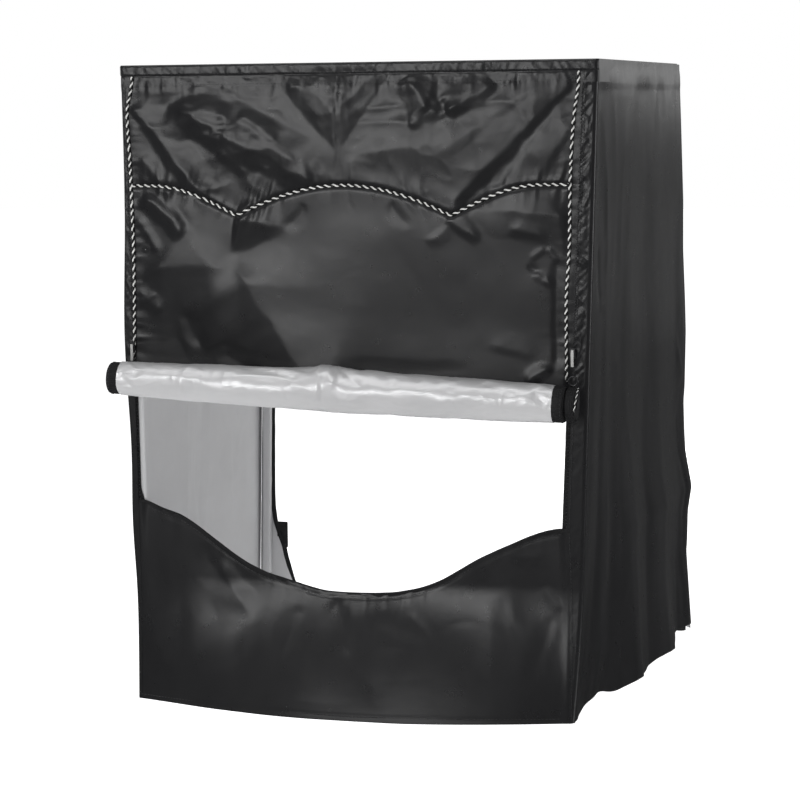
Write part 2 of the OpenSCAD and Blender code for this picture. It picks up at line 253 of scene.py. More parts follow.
def weave_height(nt, coord, period):
    """Height of a plain weave: fine waves along all three axes, so it needs no UVs."""
    total = None
    for axis in ("X", "Y", "Z"):
        inputs = {"Scale": math.pi / 10 / period, "Distortion": 0.6, "Detail": 0.0, "Vector": coord}
        w = add(nt, "ShaderNodeTexWave", inputs)
        w.wave_type = "BANDS"
        w.bands_direction = axis
        wave = w.outputs["Fac"]
        # a Math node adds unless it is told otherwise
        total = wave if total is None else add(nt, "ShaderNodeMath", {0: total, 1: wave}).outputs[0]
    return total


def bump(nt, height, distance, normal=None):
    inputs = {"Strength": 1.0, "Distance": distance, "Height": height}
    if normal is not None:
        inputs["Normal"] = normal
    return add(nt, "ShaderNodeBump", inputs).outputs["Normal"]


def principled(name):
    """A new material with its node tree, its shader and its object coordinates."""
    mat = bpy.data.materials.new(name)
    mat.use_nodes = True
    nt = mat.node_tree
    return mat, nt, nt.nodes["Principled BSDF"], nt.nodes.new("ShaderNodeTexCoord").outputs["Object"]


def cloth_material(name, dark, light, rough, weave=0.0011, weave_depth=0.00004, crease=0.00003,
                   metallic=0.0, specular=0.5, sheen=0.0, streak=(1, 1, 0.25), creases=(95, 5)):
    mat, nt, p, coord = principled(name)
    mottle = cloud(nt, coord, 22, 4, 0.6, streak)
    worn = cloud(nt, coord, 45, 3, 0.65)
    relief = bump(nt, cloud(nt, coord, creases[0], creases[1], 0.55), crease)
    feed(nt, p, {
        "Base Color": colour_ramp(nt, mottle, dark, light),
        "Roughness": remap(nt, worn, *rough),
        "Metallic": metallic,
        "Specular IOR Level": specular,
        "Sheen Weight": sheen,
        "Sheen Roughness": 0.5,
        "Normal": bump(nt, weave_height(nt, coord, weave), weave_depth, relief)})
    return mat


def hard_material(name, dark, light, rough, metallic=0.0, grain=900):
    mat, nt, p, coord = principled(name)
    feed(nt, p, {
        "Base Color": colour_ramp(nt, cloud(nt, coord, 60, 4, 0.6), dark, light),
        "Roughness": remap(nt, cloud(nt, coord, 140, 3, 0.6), *rough),
        "Metallic": metallic,
        "Specular IOR Level": 0.5,
        "Normal": bump(nt, cloud(nt, coord, grain, 2, 0.5), 0.00003)})
    return mat


BLACK = cloth_material("black_coated_cloth", (0.010, 0.010, 0.011), (0.014, 0.014, 0.015), (0.27, 0.31),
                       weave_depth=0.000006, crease=0.00009, creases=(60, 2.0), streak=(1, 1, 0.4))
BLACK_TRIM = cloth_material("black_binding", (0.006, 0.006, 0.007), (0.013, 0.013, 0.014), (0.5, 0.65),
                            weave=0.0014, weave_depth=0.00012, specular=0.35)
TRIM = [BLACK_TRIM, BLACK_TRIM]
WEBBING = cloth_material("black_webbing", (0.007, 0.007, 0.008), (0.016, 0.016, 0.017), (0.5, 0.7),
                         weave=0.0022, weave_depth=0.0003, crease=0.0001, specular=0.35)
SILVER = cloth_material("silver_coating", (0.57, 0.57, 0.58), (0.61, 0.61, 0.62), (0.40, 0.50),
                        weave_depth=0.000008, crease=0.00008, metallic=0.25, streak=(1, 0.3, 0.6),
                        creases=(50, 2.0))
# painted light: the wound roll is the same silver lining as SILVER, in a lighter base colour that stands for
# the brighter light falling on the roll; it is also glossier and more metallic
SILVER_ROLL_LIT = cloth_material("silver_coating_roll_painted_light", (0.63, 0.63, 0.64), (0.72, 0.72, 0.73), (0.29, 0.38),
                             weave_depth=0.000008, crease=0.00016, metallic=0.35, streak=(0.3, 1, 1),
                             creases=(80, 2.0))
CORD_WHITE = cloth_material("white_cord_strand", (0.66, 0.66, 0.64), (0.86, 0.86, 0.84), (0.55, 0.7),
                            weave=0.0007, weave_depth=0.0001, sheen=0.2)
CORD_BLACK = cloth_material("black_cord_strand", (0.006, 0.006, 0.006), (0.014, 0.014, 0.014), (0.5, 0.65),
                            weave=0.0007, weave_depth=0.0001)
THREAD = cloth_material("black_thread", (0.02, 0.02, 0.022), (0.05, 0.05, 0.052), (0.35, 0.5),
                        weave=0.0005, weave_depth=0.00005)
TEETH = hard_material("zip_teeth", (0.008, 0.008, 0.009), (0.02, 0.02, 0.022), (0.3, 0.45))
POLE = hard_material("coated_pole", (0.03, 0.03, 0.032), (0.05, 0.05, 0.053), (0.35, 0.5), metallic=0.6)
PLASTIC = hard_material("black_plastic", (0.012, 0.012, 0.013), (0.022, 0.022, 0.024), (0.4, 0.55),
                        grain=1500)
RUBBER = hard_material("rubber_foot", (0.01, 0.01, 0.01), (0.02, 0.02, 0.02), (0.7, 0.85), grain=700)
METAL = hard_material("slider_metal", (0.05, 0.05, 0.052), (0.09, 0.09, 0.093), (0.25, 0.4), metallic=0.9)
PULL = hard_material("pull_plastic", (0.42, 0.42, 0.41), (0.52, 0.52, 0.51), (0.35, 0.5))


# ---- making pieces ----

SHARP_EDGE = 55


def piece(name, verts, faces, mats, index=None, body="root", slot=None):
    mesh = bpy.data.meshes.new(name)
    mesh.from_pydata((np.asarray(verts) * MM).tolist(), [], faces)
    for m in mats:
        mesh.materials.append(m)
    if index is not None:
        mesh.polygons.foreach_set("material_index", np.asarray(index, np.int32))
    mesh.polygons.foreach_set("use_smooth", np.ones(len(mesh.polygons), bool))
    mesh.update()
    mesh.set_sharp_from_angle(angle=math.radians(SHARP_EDGE))
    obj = bpy.data.objects.new(name, mesh)
    SCENE.collection.objects.link(obj)
    if body is not None:
        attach(obj, body)
    return obj


def circle(n):
    return np.linspace(0, 2 * np.pi, n, endpoint=False)


def grid(nu, nv, f):
    v, u = np.meshgrid(np.linspace(0, 1, nv + 1), np.linspace(0, 1, nu + 1), indexing="ij")
    return np.stack(np.broadcast_arrays(*f(u, v)), axis=-1).astype(float)


def normals(P):
    du = np.gradient(P, axis=1)
    dv = np.gradient(P, axis=0)
    n = np.cross(du, dv)
    return n / np.maximum(np.linalg.norm(n, axis=-1, keepdims=True), 1e-9)


def ring_quads(ids):
    """Faces between the rows of a grid whose columns close into a ring."""
    nxt = np.roll(ids, -1, 1)
    return np.stack([ids[:-1], nxt[:-1], nxt[1:], ids[1:]], -1).reshape(-1, 4)


def ring_shell(outer, inner):
    """Vertices and faces of a closed band between two surfaces whose columns close into a ring."""
    rows, cols = outer.shape[:2]
    ids = np.arange(rows * cols).reshape(rows, cols)
    nxt = np.roll(ids, -1, 1)
    k = rows * cols
    quads = ring_quads(ids)
    bottom = np.stack([nxt[0], ids[0], ids[0] + k, nxt[0] + k], -1)
    top = np.stack([ids[-1], nxt[-1], nxt[-1] + k, ids[-1] + k], -1)
    verts = np.concatenate([outer.reshape(-1, 3), inner.reshape(-1, 3)])
    return verts, np.concatenate([quads, quads[:, ::-1] + k, bottom, top]).tolist()


def shell_mesh(P, outward, thick):
    """Vertices, faces and material rows of a sheet: P is its outer face, and outward says which way."""
    rows, cols = P.shape[:2]
    N = normals(P)
    if float((N * np.asarray(outward, float)).sum()) < 0:
        P, N = P[:, ::-1], -N[:, ::-1]
    inner = P - N * thick
    verts = np.concatenate([P.reshape(-1, 3), inner.reshape(-1, 3)])
    k = rows * cols
    ids = np.arange(k).reshape(rows, cols)
    quads = np.stack([ids[:-1, :-1], ids[:-1, 1:], ids[1:, 1:], ids[1:, :-1]], -1).reshape(-1, 4)
    back = quads[:, ::-1] + k
    loop = np.concatenate([ids[0, :], ids[1:, -1], ids[-1, -2::-1], ids[-2:0:-1, 0]])
    nxt = np.roll(loop, -1)
    rim = np.stack([nxt, loop, loop + k, nxt + k], -1)
    faces = np.concatenate([quads, back, rim])
    index = np.concatenate([np.zeros(len(quads)), np.ones(len(back)), np.zeros(len(rim))])
    return verts, faces.tolist(), index.astype(int)


def shell(name, P, outward, thick=0.9, mats=(BLACK, SILVER), slot="black_cloth", **kw):
    verts, faces, index = shell_mesh(P, outward, thick)
    return piece(name, verts, faces, mats, index, slot=slot, **kw)


def merge(parts):
    """Several (verts, faces, index) as one."""
    verts, faces, index, k = [], [], [], 0
    for v, f, i in parts:
        verts.append(np.asarray(v, float))
        faces.extend([[a + k for a in q] for q in f])
        index.append(np.asarray(i, int))
        k += len(v)
    return np.concatenate(verts), faces, np.concatenate(index)


def frames(path):
    """Tangent and two side vectors at each point of a path, carried along without twist."""
    t = np.gradient(path, axis=0)
    t /= np.linalg.norm(t, axis=1, keepdims=True)
    ref = np.array([0, -1.0, 0]) if abs(t[0][1]) < 0.8 else np.array([0, 0, 1.0])
    side = np.zeros_like(t)
    for i, d in enumerate(t):
        ref = ref - d * (ref @ d)
        ref /= np.linalg.norm(ref)
        side[i] = ref
    return t, side, np.cross(t, side)


def tube(path, radius, sides=8, index=0):
    _, a, b = frames(path)
    r = np.broadcast_to(np.asarray(radius, float), (len(path),))
    ang = np.arange(sides) * 2 * np.pi / sides
    ring = np.cos(ang)[None, :, None] * a[:, None] + np.sin(ang)[None, :, None] * b[:, None]
    verts = (path[:, None] + ring * r[:, None, None]).reshape(-1, 3)
    faces = []
    for k in range(len(path) - 1):
        for s in range(sides):
            i, j = k * sides + s, k * sides + (s + 1) % sides
            faces.append([i, j, j + sides, i + sides])
    faces.append(list(range(sides))[::-1])
    faces.append([(len(path) - 1) * sides + s for s in range(sides)])
    return verts, faces, [index] * len(faces)


def resample(points, spacing):
    points = np.asarray(points, float)
    seg = np.linalg.norm(np.diff(points, axis=0), axis=1)
    at = np.concatenate([[0], np.cumsum(seg)])
    n = max(2, int(round(at[-1] / spacing)) + 1)
    s = np.linspace(0, at[-1], n)
    return np.stack([np.interp(s, at, points[:, k]) for k in range(3)], -1), s


def soften(values, times):
    """Evens out a row of values or points, with its ends held."""
    for _ in range(times):
        values[1:-1] = 0.25 * values[:-2] + 0.5 * values[1:-1] + 0.25 * values[2:]
    return values


def smooth_line(points, spacing):
    """A smooth line through a few points."""
    return resample(soften(resample(points, spacing)[0], 40), spacing)[0]


CORD_RINGS = 12


def twisted(path, radius, pitch, along=0.0, shrink=1.0):
    """Two strands laid round each other, the first white and the second black, a little unevenly."""
    line, s = resample(path, pitch / CORD_RINGS)
    _, a, b = frames(line)
    parts = []
    for k, strand in enumerate((radius * 0.5, radius * 0.56)):
        at = s + along
        ang = 2 * np.pi * at / pitch + np.pi * k + 0.8 * noise(at / 19, 0.5, 7) + 0.4 * noise(at / 8, 0.5, 8)
        off = (np.cos(ang)[:, None] * a + np.sin(ang)[:, None] * b) * (radius - strand)
        parts.append(tube(line + off, strand * shrink, 8, k))
    return merge(parts)


def stitches(lines, length=3.0, space=1.3, radius=0.34, lift=0.12):
    """Rows of thread: each line is (points, outward), with short stitches just proud of the cloth."""
    parts = []
    for points, outward in lines:
        fine, s = resample(points, 0.5)
        out = np.asarray(outward, float)
        if out.ndim == 1:
            out = np.broadcast_to(out / np.linalg.norm(out), fine.shape)
        n = int(s[-1] / (length + space))
        for k in range(n):
            t = (k + 0.5) * s[-1] / n + np.linspace(-length / 2, length / 2, 4)
            p = np.stack([np.interp(t, s, fine[:, c]) for c in range(3)], -1)
            o = out[min(len(out) - 1, int(t[0] / max(s[-1], 1) * len(out)))]
            arch = np.array([-0.25, lift, lift, -0.25])[:, None]
            parts.append(tube(p + o * arch, [radius * 0.6, radius, radius, radius * 0.6], 5, 0))
    return merge(parts)


def thread(name, lines, body="root", **kw):
    v, f, i = stitches(lines, **kw)
    return piece(name, v, f, [THREAD], i, body=body, slot="black_cloth")


# ---- camera, floor and light ----

CAM_AT = np.array([849.0, -3256.0, 704.0]) * MM
yaw, pitch, roll = (math.radians(a) for a in (15.0, -6.3, -0.63))
look = np.array([-math.sin(yaw) * math.cos(pitch), math.cos(yaw) * math.cos(pitch), math.sin(pitch)])
right = np.array([math.cos(yaw), math.sin(yaw), 0.0])
up = np.cross(right, look)
right, up = (math.cos(roll) * right + math.sin(roll) * up, -math.sin(roll) * right + math.cos(roll) * up)
cam_data = bpy.data.cameras.new("camera")
cam_data.sensor_width = 36.0
cam_data.lens = 121.46
cam_data.clip_end = 60
cam = bpy.data.objects.new("camera", cam_data)
SCENE.collection.objects.link(cam)
cam.matrix_world = Matrix([[right[0], up[0], -look[0], CAM_AT[0]], [right[1], up[1], -look[1], CAM_AT[1]],
                           [right[2], up[2], -look[2], CAM_AT[2]], [0, 0, 0, 1]])
SCENE.camera = cam
SCENE.view_settings.view_transform = "Standard"
SCENE.view_settings.look = "None"

world = bpy.data.worlds.new("studio")
SCENE.world = world
world.use_nodes = True
wn = world.node_tree
wn.nodes.clear()
sky = wn.nodes.new("ShaderNodeTexCoord").outputs["Generated"]
sky_z = add(wn, "ShaderNodeSeparateXYZ", {0: sky}).outputs["Z"]
sky_grey = colour_ramp(wn, sky_z, (0.04, 0.04, 0.04), (0.22, 0.22, 0.22), (0.0, 0.8))
lit = add(wn, "ShaderNodeBackground", {"Color": sky_grey, "Strength": 1.0}).outputs[0]
seen = add(wn, "ShaderNodeBackground", {"Color": (1, 1, 1, 1), "Strength": 1.0}).outputs[0]
by_camera = wn.nodes.new("ShaderNodeLightPath").outputs["Is Camera Ray"]
studio = add(wn, "ShaderNodeMixShader", {"Fac": by_camera, 1: lit, 2: seen}).outputs[0]
add(wn, "ShaderNodeOutputWorld", {"Surface": studio})


def softbox(name, at, to, size, power, glossy=True):
    light = bpy.data.lights.new(name, "AREA")
    light.shape = "RECTANGLE"
    light.size, light.size_y = size
    light.energy = power
    obj = bpy.data.objects.new(name, light)
    obj.location = at
    obj.rotation_euler = (Vector(to) - Vector(at)).to_track_quat("-Z", "Y").to_euler()
    obj.visible_camera = False
    obj.visible_glossy = glossy
    SCENE.collection.objects.link(obj)


softbox("front_box", (-0.78, -2.75, 0.88), (0, -0.28, 0.6), (1.15, 0.5), 9.6)
softbox("front_low_box", (-0.25, -2.75, 0.3), (0.1, -0.28, 0.45), (0.6, 0.5), 0.6)
softbox("top_box", (-0.3, -1.3, 2.6), (0, -0.2, 0.4), (2.0, 1.4), 13)
softbox("soft_fill", (-0.9, -2.4, 1.9), (0, 0, 0.4), (1.6, 1.2), 9, glossy=False)
softbox("rear_box", (1.1, 2.6, 1.2), (0.2, 0, 0.7), (1.2, 1.0), 2.9)
softbox("rear_middle_box", (1.1, 2.6, 0.45), (0.2, 0, 0.6), (1.2, 0.5), 0.12)
softbox("rear_low_box", (0.95, 2.3, 0.05), (0.3, 0, 0.4), (1.1, 0.9), 0.12)
softbox("right_box", (3.0, 0.2, 0.62), (0.3, 0, 0.4), (1.1, 1.15), 13)
softbox("left_box", (-3.0, 0.2, 0.62), (-0.3, 0, 0.4), (1.1, 1.15), 13)
softbox("inside_fill", (0.5, 1.9, 0.5), (-0.25, 0, 0.3), (1.6, 1.2), 14, glossy=False)

floor_mesh = bpy.data.meshes.new("floor")
reach = 14.0
floor_mesh.from_pydata([(-reach, -reach, 0), (reach, -reach, 0), (reach, reach, 0), (-reach, reach, 0)],
                       [], [(0, 1, 2, 3)])
floor = bpy.data.objects.new("floor", floor_mesh)
SCENE.collection.objects.link(floor)
floor_mat, fnt, fp, fcoord = principled("pale_floor")
feed(fnt, fp, {
    "Base Color": colour_ramp(fnt, cloud(fnt, fcoord, 1.5), (0.93, 0.93, 0.93), (0.97, 0.97, 0.97)),
    "Roughness": 0.8,
    "Specular IOR Level": 0.1,
    "Emission Color": (1, 1, 1, 1),
    "Emission Strength": 1.0})
floor_mesh.materials.append(floor_mat)
floor.visible_glossy = False

# ---- frame materials ----

for name, node in NODES.items():
    if name.endswith("_leg") or name.endswith("_rail") or name == "roll_rod":
        finish = POLE
    elif name.endswith("_corner"):
        finish = PLASTIC
    elif name == "leg_feet":
        finish = RUBBER
    elif name.endswith("_pull"):
        finish = PULL
    elif name.endswith("_slider") or name == "hold_ring":
        finish = METAL
    else:
        finish = BLACK_TRIM
    node.data.materials.clear()
    node.data.materials.append(finish)

# ---- curtain ----

CURTAIN_FOLDS = [
    ((-180, 592), (-272, 704), 13, 6, 17, 30, (26, 8)),
    ((-222, 594), (-262, 648), 10, 7, 10, 14, (12, 12)),
    ((256, 727), (112, 586), 4, 15, 16, -60, (10, 22)),
    ((246, 716), (150, 590), 3, 9, -8, 24, (20, 20)),
    ((262, 692), (204, 606), 3, 9, 8, 20, (20, 20)),
    ((214, 722), (90, 640), 6, 12, 4, 34, (20, 30)),
    # crushed patch between the left cord and the middle crease
    ((-46, 612), (-226, 704), 13, 32, 11, 44, (14, 26)),
    ((-66, 634), (-128, 668), 12, 9, 9, 24, (16, 14)),
    ((-128, 622), (-166, 650), 12, 8, 8, 18, (12, 10)),
    ((-150, 690), (-214, 702), 9, 8, 8, 20, (14, 10)),
    ((-88, 660), (-140, 694), 7, 9, 12, 14, (10, 10)),
    # crossing creases under the hem
    ((88, 694), (62, 734), 20, 17, 11, 20, (8, 8)),
    ((168, 727), (106, 693), 9, 15, 14, 26, (12, 8)),
    ((112, 713), (72, 684), 4, 3.5, 18, 5, (8, 8)),
    ((106, 686), (86, 717), 3.5, 3, 16, 5, (6, 6)),
    ((100, 697), (62, 680), 10, 7, 13, 12, (6, 6)),
    ((126, 704), (98, 684), 4, 3, 16, 5, (8, 8)),
    ((58, 606), (40, 646), 7, 4, 5, 14, (12, 14)),
    ((-36, 614), (-52, 640), 6, 4, 8, 9, (8, 8)),
    # under the scallop
    ((-206, 552), (-258, 600), 12, 15, 12, 16, (10, 10)),
    ((-196, 560), (-252, 606), 6, 4, -8, 10, (12, 10)),
    ((-238, 530), (-268, 575), 7, 5, 10, 10, (10, 8)),
    ((-214, 566), (-232, 600), 6, 5, 9, 9, (8, 8)),
    ((-80, 560), (-146, 573), 10, 36, 8, 28, (26, 8)),
    ((148, 545), (108, 574), 9, 7, 12, 14, (14, 5)),
    ((252, 572), (118, 584), 44, 20, 4, 30, (16, 24)),
    ((226, 548), (178, 562), 8, 9, 8, 14, (12, 12)),
    ((84, 540), (112, 566), 9, 5, 7, 14, (14, 5)),
    ((40, 590), (66, 560), 6, 9, -6, 14, (6, 14)),
    ((-84, 556), (-60, 590), 9, 6, -6, 14, (14, 6)),
    # beside the left cord
    ((-232, 520), (-262, 500), 4, 5, 10, 9, (10, 8)),
    ((-242, 486), (-268, 470), 4, 4, 10, 8, (8, 8)),
    ((-236, 462), (-268, 488), 12, 8, 8, 14, (8, 8)),
    # the long diagonal, dark on its lower left side
    ((-14, 325), (-156, 532), 130, 60, 4.6, 170, (50, 46)),
    ((-140, 520), (-262, 512), 110, 90, 2.4, 90, (40, 30)),
    ((-116, 388), (-172, 424), 14, 14, -6, 18, (16, 16)),
    ((-188, 416), (-212, 468), 12, 10, -6, 16, (18, 14)),
    # above the roll
    ((-30, 404), (150, 397), 9, 12, -4, 30, (60, 60)),
    ((232, 404), (196, 384), 8, 12, 13, 14, (10, 10)),
    ((214, 418), (150, 430), 8, 8, 5, 22, (16, 20)),
    # beside the right cord
    ((233, 396), (236, 530), 8, 6, -10, 16, (24, 10)),
    ((243, 596), (241, 412), 4, 4, 7, 8, (24, 24)),
    ((224, 538), (204, 524), 4, 4, 14, 7, (5, 6)),
    ((238, 522), (224, 540), 4, 4, 14, 6, (5, 4)),
    ((232, 494), (208, 512), 6, 7, 14, 8, (7, 7)),
    ((224, 500), (200, 520), 5, 5, -12, 8, (7, 7)),
    # along the hem
    ((-120, 722), (-268, 716), 5, 6, 6, 16, (30, 20)),
    ((-262, 703), (-120, 708), 6, 6, -5, 14, (20, 30)),
]


def heart(x, z):
    """A dart under the hem: two facets that meet in a sharp crease."""
    tip = np.array([-20.0, 645.0])

    def inside(to, sign):
        d = np.array(to) - tip
        d = d / np.hypot(*d)
        return sign * ((x - tip[0]) * -d[1] + (z - tip[1]) * d[0])
    wob = 2.2 * noise(x / 24, z / 24, 5) + 0.9 * noise(x / 9, z / 9, 6)
    left = np.minimum(inside((-86.0, 722.0), -1) + wob, 0.6 * (x + 88) + 1.4 * wob)
    right = np.minimum(inside((44.0, 735.0), 1) + wob, 26 + 3 * wob)
    groove = 1.0 * np.exp(-np.abs(x + 20 - noise(z / 14, 0, 3)) / 1.6) * step((z - 645) / 20)
    return 0.15 * np.maximum(np.minimum(left, right), 0) - groove


def curtain_out(x, z, left, right_):
    """How far the curtain stands out of its flat plane, in mm."""
    h = folded(x, z, CURTAIN_FOLDS, 1.6)
    h += heart(x, z)
    # faint continuation of the middle crease down to the scallop
    h -= 0.35 * np.exp(-np.abs(x + 20 - 0.8 * noise(z / 14, 0, 3)) / 1.8) * step((z - 612) / 30)
    # slack between hem and scallop, and below it
    above = step((z - scallop_z(x)) / 10)
    h += (0.7 + 0.7 * above) * noise(x / 74, z / 60, 11)
    h += 0.45 * noise(x / 30, z / 26, 12) * (0.25 + 0.75 * above)
    h += 0.8 * above * (crumple(x, z * 1.2, 34, 21) - 0.6)
    h += 0.22 * (crumple(x, z, 17, 22) - 0.6) * (0.15 + 0.85 * above)
    # crushed patch between the left cord and the middle crease
    along = ((x + 229) * 0.855 - (z - 707) * 0.518) / 185
    off = (x + 229) * 0.518 + (z - 707) * 0.855
    patch = step(along / 0.25) * step((1.02 - along) / 0.3) * hill(off, 6, 24)
    h += patch * (1.1 * (crumple(x * 0.8, z * 1.1, 27, 24) - 0.6) + 0.7 * (crumple(x, z, 13, 25) - 0.6))
    # gathers on both sides of the scallop
    q = z - scallop_z(x)
    lean = 0.35 * np.sin((x + 20) / 70)
    s = x + lean * q + 5 * noise(x / 30, z / 30, 31)
    gather = noise(s / 6.5, q / 70, 32) + 0.5 * noise(s / 3.8, q / 50, 33)
    size = 0.65 + 0.6 * noise(x / 37, 0.3, 34)
    reach_by = np.where(q > 0, 24, 15) * (1 + 0.5 * noise(x / 21, 0.7, 35))
    h += 1.1 * size * gather * np.exp(-(np.abs(q) / reach_by) ** 1.4) * step(np.abs(q) / 5)
    h -= 1.5 * hill(q, 0, 3.2)
    # pulled in along hem and cords, with short puckers
    e = np.minimum(x - left, right_ - x)
    side = noise(z / 5.6, e / 40, 41) + 0.5 * noise(z / 3.4, e / 30, 42)
    h += 0.9 * side * np.exp(-e / 11)
    t = 724 - z
    top = noise(x / 6.2, t / 40, 43) + 0.5 * noise(x / 3.6, t / 40, 44)
    h += 0.6 * top * np.exp(-np.abs(t) / 9)
    # a small hole in the cloth with a raised lip
    r = np.hypot(x + 255, z - 537)
    h += 0.9 * hill(r, 2, 1.1) - 1.3 * hill(r, 0, 1.1)
    # bellies out to the roll
    h += (0.6 + 1.6 * step((x + 150) / 200)) * step((470 - z) / 86) ** 1.3
    pin = step(e / 10) * step((748 - z) / 26)
    # below the scallop the cloth leans in towards the roll, above it back to the hem
    lean = 0.017 * (ramp(z - 440, 40) - 2.3 * ramp(z - 610, 30)) * (0.4 + 0.6 * step((x + 120) / 90))
    return h * (0.12 + 0.88 * pin) + np.maximum(lean, 0) * step(e / 60)


def curtain_edges(z):
    return seam_left(z) + 0.6, seam_right(z) - 0.6


def curtain_point(u, v):
    low = 384
    z = low + (HEIGHT - 3 - low) * v
    lo, hi = curtain_edges(z)
    # the lowest line falls to the right, as the roll does
    z = z - 20 * u * (1 - v)
    x = lo + (hi - lo) * u
    return x, CURTAIN_Y - curtain_out(x, z, lo, hi), z


curtain = shell("curtain_cloth", grid(244, 166, curtain_point), (0, -1, 0), 0.8, body=None)
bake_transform(curtain)
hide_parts("curtain_panel")

# ---- trim cords ----

CORD_PITCH = DROP / 24
LEFT_CORD = [(-268, 736.5), (-268.6, 722), (-275.5, 704), (-275.5, 690), (-273.5, 655), (-272.3, 615),
             (-271.8, 590), (-270.5, 545), (-271, 480), (-272, 430), (-273, 407)]
RIGHT_CORD = [(261.5, 736.5), (260.5, 718), (255.5, 690), (252.5, 652), (250.5, 606), (250, 550),
              (248.5, 520), (246, 488), (245.5, 445), (246, 420), (246, 388)]
CORD_R = 1.85


def cord_piece(name, path, radius=CORD_R, pitch=CORD_PITCH, body="root", **kw):
    v, f, i = twisted(path, radius, pitch, **kw)
    return piece(name, v, f, [CORD_WHITE, CORD_BLACK], i, body=body, slot="trim_cord")


def on_curtain(line, lift):
    """Lays a line on the curtain's front, keeping its own x and z."""
    x, z = line[:, 0], line[:, 2]
    lo, hi = curtain_edges(z)
    rise = soften(curtain_out(np.clip(x, lo, hi), z, lo, hi), 12)
    line = line.copy()
    line[:, 1] = CURTAIN_Y - rise - lift
    return line


def cord_line(points):
    return on_curtain(smooth_line([(x, 0, z) for x, z in points], 2.0), 1.7)


for side, points in (("left", LEFT_CORD), ("right", RIGHT_CORD)):
    line = cord_line(points)
    cord = cord_piece(side + "_cord", line)
    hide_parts(side + "_trim_cord")
    # the length that comes off the roll with the cloth, hidden in the fixed cord at rest
    fine, s = resample(line, CORD_PITCH / CORD_RINGS)
    low = fine[-1, 2]
    start = int(np.argmax(fine[:, 2] <= low + DROP - 2))
    cord_piece(side + "_cord_spare", fine[start:], body="roll_carrier", along=s[start], shrink=0.9)

xs = np.linspace(-271.5, 250.0, 400)
wave = scallop_z(xs)
wave = np.convolve(np.pad(wave, 3, "edge"), np.ones(7) / 7, "valid")
scallop = cord_piece("scallop_cord", on_curtain(np.stack([xs, 0 * xs, wave], -1), 1.5))
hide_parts("scallop_trim_cord")

# ---- top hem ----

HEM_Z = 724.0


def wall_rise(side, y, z):
    """How far a side wall stands out near its top, with its front and rear ends held in."""
    u = (y + HALF_D) / (2 * HALF_D)
    edge = held(u, 0.05, 0.05)
    return wall_out(side, y, z) * edge * (0.1 + 0.9 * step((749 - z) / 40))


def cloth_under_hem(line, out_dir, z):
    """Stand-out of the curtain or wall behind each point of the hem."""
    X, Z = np.meshgrid(line[:, 0], z)
    Y = np.broadcast_to(line[:, 1], X.shape)
    lo, hi = curtain_edges(Z)
    front = curtain_out(np.clip(X, lo, hi), Z, lo, hi) + 0.3
    facing_front = np.maximum(0, -out_dir[:, 1])[None]
    left = np.maximum(0, -out_dir[:, 0])[None]
    right = np.maximum(0, out_dir[:, 0])[None]
    return (front * facing_front ** 2 + wall_rise(-1, Y, Z) * left ** 2
            + (wall_rise(1, Y, Z) - 0.4) * right ** 2)


def hem_mesh():
    w, d, r = HALF_W + 0.4, HALF_D + 0.4, 3.0
    outline = []
    for cx, cy, a0 in ((-w + r, -d + r, 180), (w - r, -d + r, 270), (w - r, d - r, 0), (-w + r, d - r, 90)):
        for a in np.radians(np.linspace(a0, a0 + 90, 6)):
            outline.append((cx + r * math.cos(a), cy + r * math.sin(a), 0))
    outline.append(outline[0])
    line, s = resample(outline, 2.0)
    line = line[:-1]
    tangent = np.roll(line, -1, 0) - np.roll(line, 1, 0)
    tangent /= np.linalg.norm(tangent, axis=1, keepdims=True)
    out_dir = np.stack([tangent[:, 1], -tangent[:, 0], np.zeros(len(line))], -1)
    s = s[:-1]
    z = HEM_Z + 25.6 * np.linspace(0, 1, 29)
    S, Z = np.meshgrid(s, z)
    facing = np.maximum(0, -out_dir[:, 1])[None]
    casing = step((Z - 737.2) / 1.6)
    pucker = (noise(S / 4.4 + Z / 8, Z / 16, 61) + 0.7 * noise(S / 2.7 - Z / 9, Z / 12, 62))
    out_by = 0.1 + 0.2 * facing + cloth_under_hem(line, out_dir, z)
    out_by += (0.06 + 1.1 * facing) * casing * (1 + 0.26 * pucker) * step((750.4 - Z) / 3.2)
    out_by += 0.3 * facing * pucker * np.exp(-np.abs(Z - 733) / 5)
    out_by -= 0.4 * facing * hill(Z, 736.8, 0.9)
    out_by -= 0.5 * (1 - facing) * step((Z - 746) / 4)
    out_by = np.maximum(out_by, 0.1)
    P = line[None] + out_dir[None] * out_by[..., None]
    P[..., 2] = Z
    inner = line[None] + out_dir[None] * (out_by - 0.6)[..., None]
    inner[..., 2] = Z
    verts, faces = ring_shell(P, inner)
    return verts, faces, P, out_dir


def make_hem():
    verts, faces, P, out_dir = hem_mesh()
    hem = piece("top_hem_band", verts, faces, [BLACK], None, slot="black_cloth")
    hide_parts("top_hem")
    front = out_dir[:, 1] < -0.9
    back = out_dir[:, 1] > 0.9
    rows = []
    for z in (738.4, 726.6):
        k = int(np.argmin(np.abs(P[:, 0, 2] - z)))
        for part in (front, back):
            rows.append((P[k][part], out_dir[part].mean(0)))
    return hem, thread("top_hem_thread", rows, radius=0.26, lift=0.05)


# ---- roof ----

